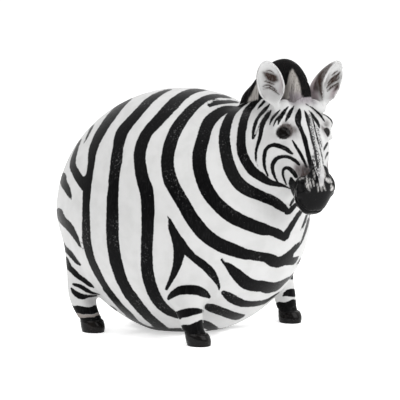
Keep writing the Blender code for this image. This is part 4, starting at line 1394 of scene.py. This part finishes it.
def tones(tree, points, normals):
    """Every painted tone of the coat, by name, as one number a corner."""
    facing = in_view(tree, points, normals)
    legs, hoof, ring = leg_marks(points)
    edge = np.minimum(body_marks(tree, points, normals), legs)
    edge = np.minimum(edge, belly_marks(points))
    edge = np.minimum(edge, tail_marks(points))
    edge = np.minimum(edge, head_marks(tree, points, normals, facing))
    muzzle, streak_and_highlight, dust = muzzle_tones(points, facing)

    # The ears stand clear of the stripes and of the mane between them.
    brown, grey, pink, fur = ear_tones(points, normals, facing)
    mane, panel, root, within = mane_share(points)
    ears = fur > 0.3
    edge = np.where(ears, FAR, edge)
    mane = np.where(ears & (mane < 0.99) | (fur > 0.6) & ~within, 0.0, mane)
    panel = np.where(mane > 0, panel, 0.0)
    root = np.where(ears, 0.0, root)

    # Airbrushed spots and painted shade, the same on both sides of the head.
    own = on_near_cheek(points)
    for x, y, reach, strength in BROWN_SPOTS:
        brown = np.maximum(brown, spot_share(own, tree, x, y, reach) * strength)
    for x, y, reach, strength in GREY_AND_SHADE_SPOTS:
        grey = np.maximum(grey, spot_share(own, tree, x, y, reach) * strength)
    eye, around = eye_tones(points, own, facing)
    brown = np.maximum(brown, around)
    edge = np.where(eye > 0.2, FAR, edge)
    return {
        "stripe": edge, "muzzle": muzzle, "streak_and_highlight": streak_and_highlight, "dust": dust, "brown": brown, "grey": grey,
        "pink": pink, "mane": mane, "panel": panel, "root": root, "ring": ring, "fur": fur, "eye": eye,
        "hoof": hoof,
    }


def store(mesh, shares):
    """Keeps each tone on the mesh's corners, where the coat's material reads it."""
    for name, values in shares.items():
        held = mesh.attributes.new(name=name, type="FLOAT", domain="POINT")
        held.data.foreach_set("value", values.astype(np.float32))


class Coat:
    """A material's nodes, added one at a time in a row."""

    def __init__(self, name):
        self.material = bpy.data.materials.new(name)
        self.material.use_nodes = True
        self.tree = self.material.node_tree
        self.shader = self.tree.nodes["Principled BSDF"]

    def put(self, socket, value):
        """Links a node's output to a socket, or sets the socket's own number or colour."""
        if isinstance(value, bpy.types.NodeSocket):
            self.tree.links.new(value, socket)
        else:
            socket.default_value = value

    def add(self, kind, inputs, **settings):
        """A new node with its inputs and its settings."""
        node = self.tree.nodes.new(kind)
        for key, value in settings.items():
            setattr(node, key, value)
        for name, value in inputs.items():
            self.put(node.inputs[name], value)
        return node

    def share(self, name):
        """One of the tones that are stored on the mesh."""
        return self.add("ShaderNodeAttribute", {}, attribute_name=name).outputs["Fac"]

    def spots(self, stretch=(1.0, 1.0, 1.0)):
        """Object coordinates in metres, stretched along an axis by a number under 1."""
        where = self.add("ShaderNodeTexCoord", {}).outputs["Object"]
        return self.add("ShaderNodeMapping", {"Vector": where, "Scale": stretch}).outputs["Vector"]

    def cloud(self, scale, detail=2.0, rough=0.5, spots=None):
        """Noise about 0.5."""
        inputs = {"Scale": scale, "Detail": detail, "Roughness": rough}
        inputs["Vector"] = spots if spots is not None else self.spots()
        return self.add("ShaderNodeTexNoise", inputs).outputs["Fac"]

    def sum(self, operation, *values, clamp=False):
        """What an operation makes of some values."""
        inputs = dict(enumerate(values))
        return self.add("ShaderNodeMath", inputs, operation=operation, use_clamp=clamp).outputs[0]

    def ramp(self, value, low, high, start=0.0, end=1.0):
        """start up to low, end from high on, with a smooth step between."""
        inputs = {"Value": value, "From Min": low, "From Max": high, "To Min": start, "To Max": end}
        return self.add("ShaderNodeMapRange", inputs, interpolation_type="SMOOTHSTEP").outputs[0]

    def blend(self, share, first, second):
        """The first colour where share is 0, and the second where it is 1."""
        node = self.add("ShaderNodeMix", {}, data_type="RGBA")
        for index, value in ((0, share), (6, first), (7, second)):
            self.put(node.inputs[index], value)
        return node.outputs[2]

    def set(self, **inputs):
        """Fills the shader's own sockets, whose names are given with _ for each space."""
        for name, value in inputs.items():
            self.put(self.shader.inputs[name.replace("_", " ")], value)


def painted_resin():
    """Satin white paint with black marks, airbrushed shades, painted shade and highlights, and glossier eyes
    and hooves.
    """
    coat = Coat("painted_resin_coat")
    wide = coat.cloud(WIDE_SCALE, 3.0)
    fine = coat.cloud(FINE_SCALE, 3.0, 0.6)
    brushed = coat.cloud(BRUSH_SCALE, 2.0, 0.6, coat.spots((1.0, 1.0, 0.22)))

    # White paint with a faint cloudiness.
    white = coat.blend(coat.ramp(wide, 0.35, 0.7), WHITE_PAINT, WHITE_SHADE)

    # Airbrushed grey, pink and brown under the black, broken up by the fur's streaks. Some grey is painted
    # shade.
    broken = coat.ramp(brushed, 0.3, 0.7, 0.8, 1.12)
    grey = coat.sum("MULTIPLY", coat.share("grey"), broken)
    pink = coat.share("pink")
    broken = coat.ramp(brushed, 0.3, 0.7, 0.92, 1.1)
    brown = coat.sum("MULTIPLY", coat.share("brown"), broken, clamp=True)
    colour = coat.blend(grey, white, GREY_SHADE)
    colour = coat.blend(pink, colour, PINK_SHADE)
    colour = coat.blend(brown, colour, BROWN_SHADE)
    colour = coat.blend(coat.share("ring"), colour, RING_PALE)

    # Black stripes with a slightly unsteady edge and a few chips where the white shows through.
    wobble = coat.sum("MULTIPLY_ADD", wide, 1.6, -0.8)
    wobble = coat.sum("ADD", wobble, coat.sum("MULTIPLY_ADD", fine, 1.3, -0.65))
    edge = coat.sum("ADD", coat.share("stripe"), wobble)
    stripe = coat.ramp(edge, -0.45, 0.4, 1.0, 0.0)
    chips = coat.ramp(coat.cloud(CHIP_SCALE, 2.0, 0.55), 0.735, 0.765)
    chips = coat.sum("MULTIPLY", chips, coat.ramp(coat.cloud(CHIPPED_SCALE, 1.0), 0.56, 0.66))
    stripe = coat.sum("MULTIPLY", stripe, coat.sum("MULTIPLY_ADD", chips, -0.7, 1.0))
    worn = coat.blend(coat.ramp(brushed, 0.45, 0.8), BLACK_PAINT, BLACK_WORN)
    flecks = coat.ramp(coat.cloud(FLECK_SCALE, 3.0, 0.65), 0.56, 0.66)
    flecked = coat.sum("MULTIPLY", flecks, coat.ramp(coat.cloud(FLECKED_SCALE, 1.0), 0.52, 0.68))
    worn = coat.blend(flecked, worn, FLECK_GREY)
    colour = coat.blend(stripe, colour, worn)

    # Dry-brushed grey that catches on the high places of the bridge.
    dry = coat.ramp(coat.cloud(DRY_SCALE, 3.0, 0.65, coat.spots((1.0, 1.0, 0.35))), 0.42, 0.56)
    colour = coat.blend(coat.sum("MULTIPLY", coat.share("dust"), dry), colour, DUST_GREY)

    # The mane: black locks with pale panels, streaked along the hair.
    hair = coat.cloud(HAIR_SCALE, 2.0, 0.6, coat.spots((1.0, 1.0, 0.12)))
    streaked = coat.ramp(hair, 0.25, 0.55, 0.35, 1.1)
    panel = coat.sum("MULTIPLY", coat.share("panel"), streaked, clamp=True)
    root = coat.sum("MULTIPLY", coat.share("root"), coat.ramp(hair, 0.3, 0.7, 0.6, 1.0))
    colour = coat.blend(root, colour, ROOT_GREY)
    dark_hair = coat.blend(coat.ramp(hair, 0.5, 0.75), BLACK_PAINT, MANE_BROWN)
    mane_colour = coat.blend(panel, dark_hair, coat.blend(root, MANE_PALE, ROOT_GREY))
    mane = coat.sum("ADD", coat.share("mane"), coat.sum("MULTIPLY_ADD", hair, 0.5, -0.25))
    mane = coat.ramp(mane, 0.35, 0.75)
    colour = coat.blend(mane, colour, mane_colour)

    # The muzzle, black with an uneven edge, pale streaks down the bridge and painted highlights on the
    # nostrils' rims.
    muzzle = coat.sum("ADD", coat.share("muzzle"), coat.sum("MULTIPLY_ADD", hair, 0.6, -0.3))
    muzzle = coat.ramp(muzzle, 0.25, 0.75)
    colour = coat.blend(muzzle, colour, BLACK_PAINT)
    streaked = coat.ramp(hair, 0.38, 0.52, 0.25, 1.0)
    # Pale streaks, and painted highlights on the nostrils' rims.
    streak_and_highlight = coat.sum("MULTIPLY", coat.share("streak_and_highlight"), streaked, clamp=True)
    colour = coat.blend(streak_and_highlight, colour, STREAK_AND_HIGHLIGHT_PALE)

    # Hooves and eyes are the glossiest places.
    hoof = coat.share("hoof")
    colour = coat.blend(hoof, colour, coat.blend(coat.ramp(wide, 0.5, 0.75), HOOF_DARK, HOOF_BROWN))
    eye = coat.share("eye")
    colour = coat.blend(eye, colour, EYE_DARK)

    gloss = coat.ramp(fine, 0.3, 0.7, 0.33, 0.43)
    gloss = coat.sum("MULTIPLY_ADD", stripe, -0.04, gloss)
    gloss = coat.sum("MULTIPLY_ADD", muzzle, -0.06, gloss)
    gloss = coat.sum("MULTIPLY_ADD", hoof, -0.1, gloss)
    gloss = coat.sum("MULTIPLY_ADD", eye, -0.27, gloss, clamp=True)

    # Brushwork, the paint's thickness on the stripes, and the hair of mane and ears.
    furry = coat.sum("MAXIMUM", coat.share("mane"), coat.sum("MULTIPLY", coat.share("fur"), 0.35))
    plain = coat.sum("SUBTRACT", 1.0, eye)
    rise = coat.sum("MULTIPLY", fine, GRAIN_RISE)
    rise = coat.sum("MULTIPLY_ADD", brushed, BRUSH_RISE, rise)
    rise = coat.sum("MULTIPLY_ADD", stripe, STRIPE_RISE, rise)
    rise = coat.sum("MULTIPLY_ADD", coat.sum("MULTIPLY", hair, furry), HAIR_RISE, rise)
    rise = coat.sum("MULTIPLY", rise, plain)
    bump = coat.add("ShaderNodeBump", {"Height": rise, "Distance": 1.0, "Strength": 1.0})
    varnish = coat.sum("MULTIPLY_ADD", muzzle, 0.1, coat.sum("MULTIPLY", eye, 0.25))
    varnish = coat.sum("MULTIPLY_ADD", hoof, 0.25, varnish, clamp=True)
    bumped = bump.outputs["Normal"]
    coat.set(Base_Color=colour, Roughness=gloss, Normal=bumped, Specular_IOR_Level=PAINT_SHINE)
    coat.set(Coat_Weight=varnish, Coat_Roughness=VARNISH_ROUGHNESS, Coat_Normal=bumped)
    return coat.material


def pale_floor():
    """The plain pale table top that the figure stands on."""
    bpy.ops.mesh.primitive_circle_add(vertices=96, radius=FLOOR_RADIUS, fill_type="NGON")
    floor = bpy.context.object
    floor.name = "floor"
    coat = Coat("pale_floor")
    coat.set(Base_Color=FLOOR_PAINT, Roughness=FLOOR_ROUGHNESS)
    coat.set(Emission_Color=FLOOR_PAINT, Emission_Strength=FLOOR_GLOW)
    floor.data.materials.append(coat.material)


def soft_lamp(name, azimuth, elevation, away, side, watts):
    """A square soft box that points at the figure's middle."""
    spot = direction(math.radians(azimuth), math.radians(elevation)) * away
    lamp = bpy.data.lights.new(name, "AREA")
    lamp.size = side
    lamp.energy = watts
    held = bpy.data.objects.new(name, lamp)
    middle = Vector((0, 0, FIGURE_HEIGHT / 2))
    held.location = middle + spot
    held.rotation_euler = spot.to_track_quat("Z", "Y").to_euler()
    bpy.context.collection.objects.link(held)


def studio():
    """Soft high-key light, as bright below as a white table throws back."""
    for name, azimuth, elevation, away, side, watts in LAMPS:
        soft_lamp(name, azimuth, elevation, away, side, watts)
    world = bpy.data.worlds.new("studio")
    world.use_nodes = True
    tree = world.node_tree
    tree.nodes["Background"].inputs["Color"].default_value = WORLD_COLOUR
    where = tree.nodes.new("ShaderNodeTexCoord")
    facing = tree.nodes.new("ShaderNodeVectorMath")
    facing.operation = "DOT_PRODUCT"
    facing.inputs[1].default_value = view_axes()[0]
    shade = tree.nodes.new("ShaderNodeMapRange")
    shade.interpolation_type = "SMOOTHSTEP"
    turns = {"From Min": -0.3, "From Max": 0.7, "To Min": ROOM_WHITE, "To Max": ROOM_DARK}
    for name, value in turns.items():
        shade.inputs[name].default_value = value
    tree.links.new(where.outputs["Generated"], facing.inputs[0])
    tree.links.new(facing.outputs["Value"], shade.inputs["Value"])
    tree.links.new(shade.outputs["Result"], tree.nodes["Background"].inputs["Strength"])
    bpy.context.scene.world = world
    bpy.context.scene.view_settings.view_transform = "Standard"


def camera(middle):
    """The photograph's view: a long lens, a little above the animal's back, from its front right."""
    back, right, up = view_axes()
    held = bpy.data.objects.new("camera", bpy.data.cameras.new("camera"))
    turned = Matrix((right, up, back)).transposed().to_4x4()
    held.matrix_world = Matrix.Translation((view_place() - middle) * PART) @ turned
    held.data.sensor_width = SENSOR_WIDTH
    held.data.lens = SENSOR_WIDTH * VIEW_AWAY / PHOTO_SIDE
    held.data.clip_end = VIEW_END
    bpy.context.collection.objects.link(held)
    bpy.context.scene.camera = held


def main():
    """Builds, paints and lights the figure."""
    mesh = with_soles(thinned(casting(GRAIN), TRIANGLES))
    points = corners_of(mesh)
    store(mesh, tones(surface_tree(mesh), points, normals_of(mesh)))
    middle = (points.min(axis=0) + points.max(axis=0)) / 2
    middle[2] = points[:, 2].min()
    set_corners(mesh, (points - middle) * PART)
    mesh.materials.append(painted_resin())
    mesh.shade_smooth()
    zebra = bpy.data.objects.new("painted_zebra", mesh)
    bpy.context.collection.objects.link(zebra)
    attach(zebra, "root")
    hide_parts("zebra")
    pale_floor()
    studio()
    camera(Vector(middle))


main()
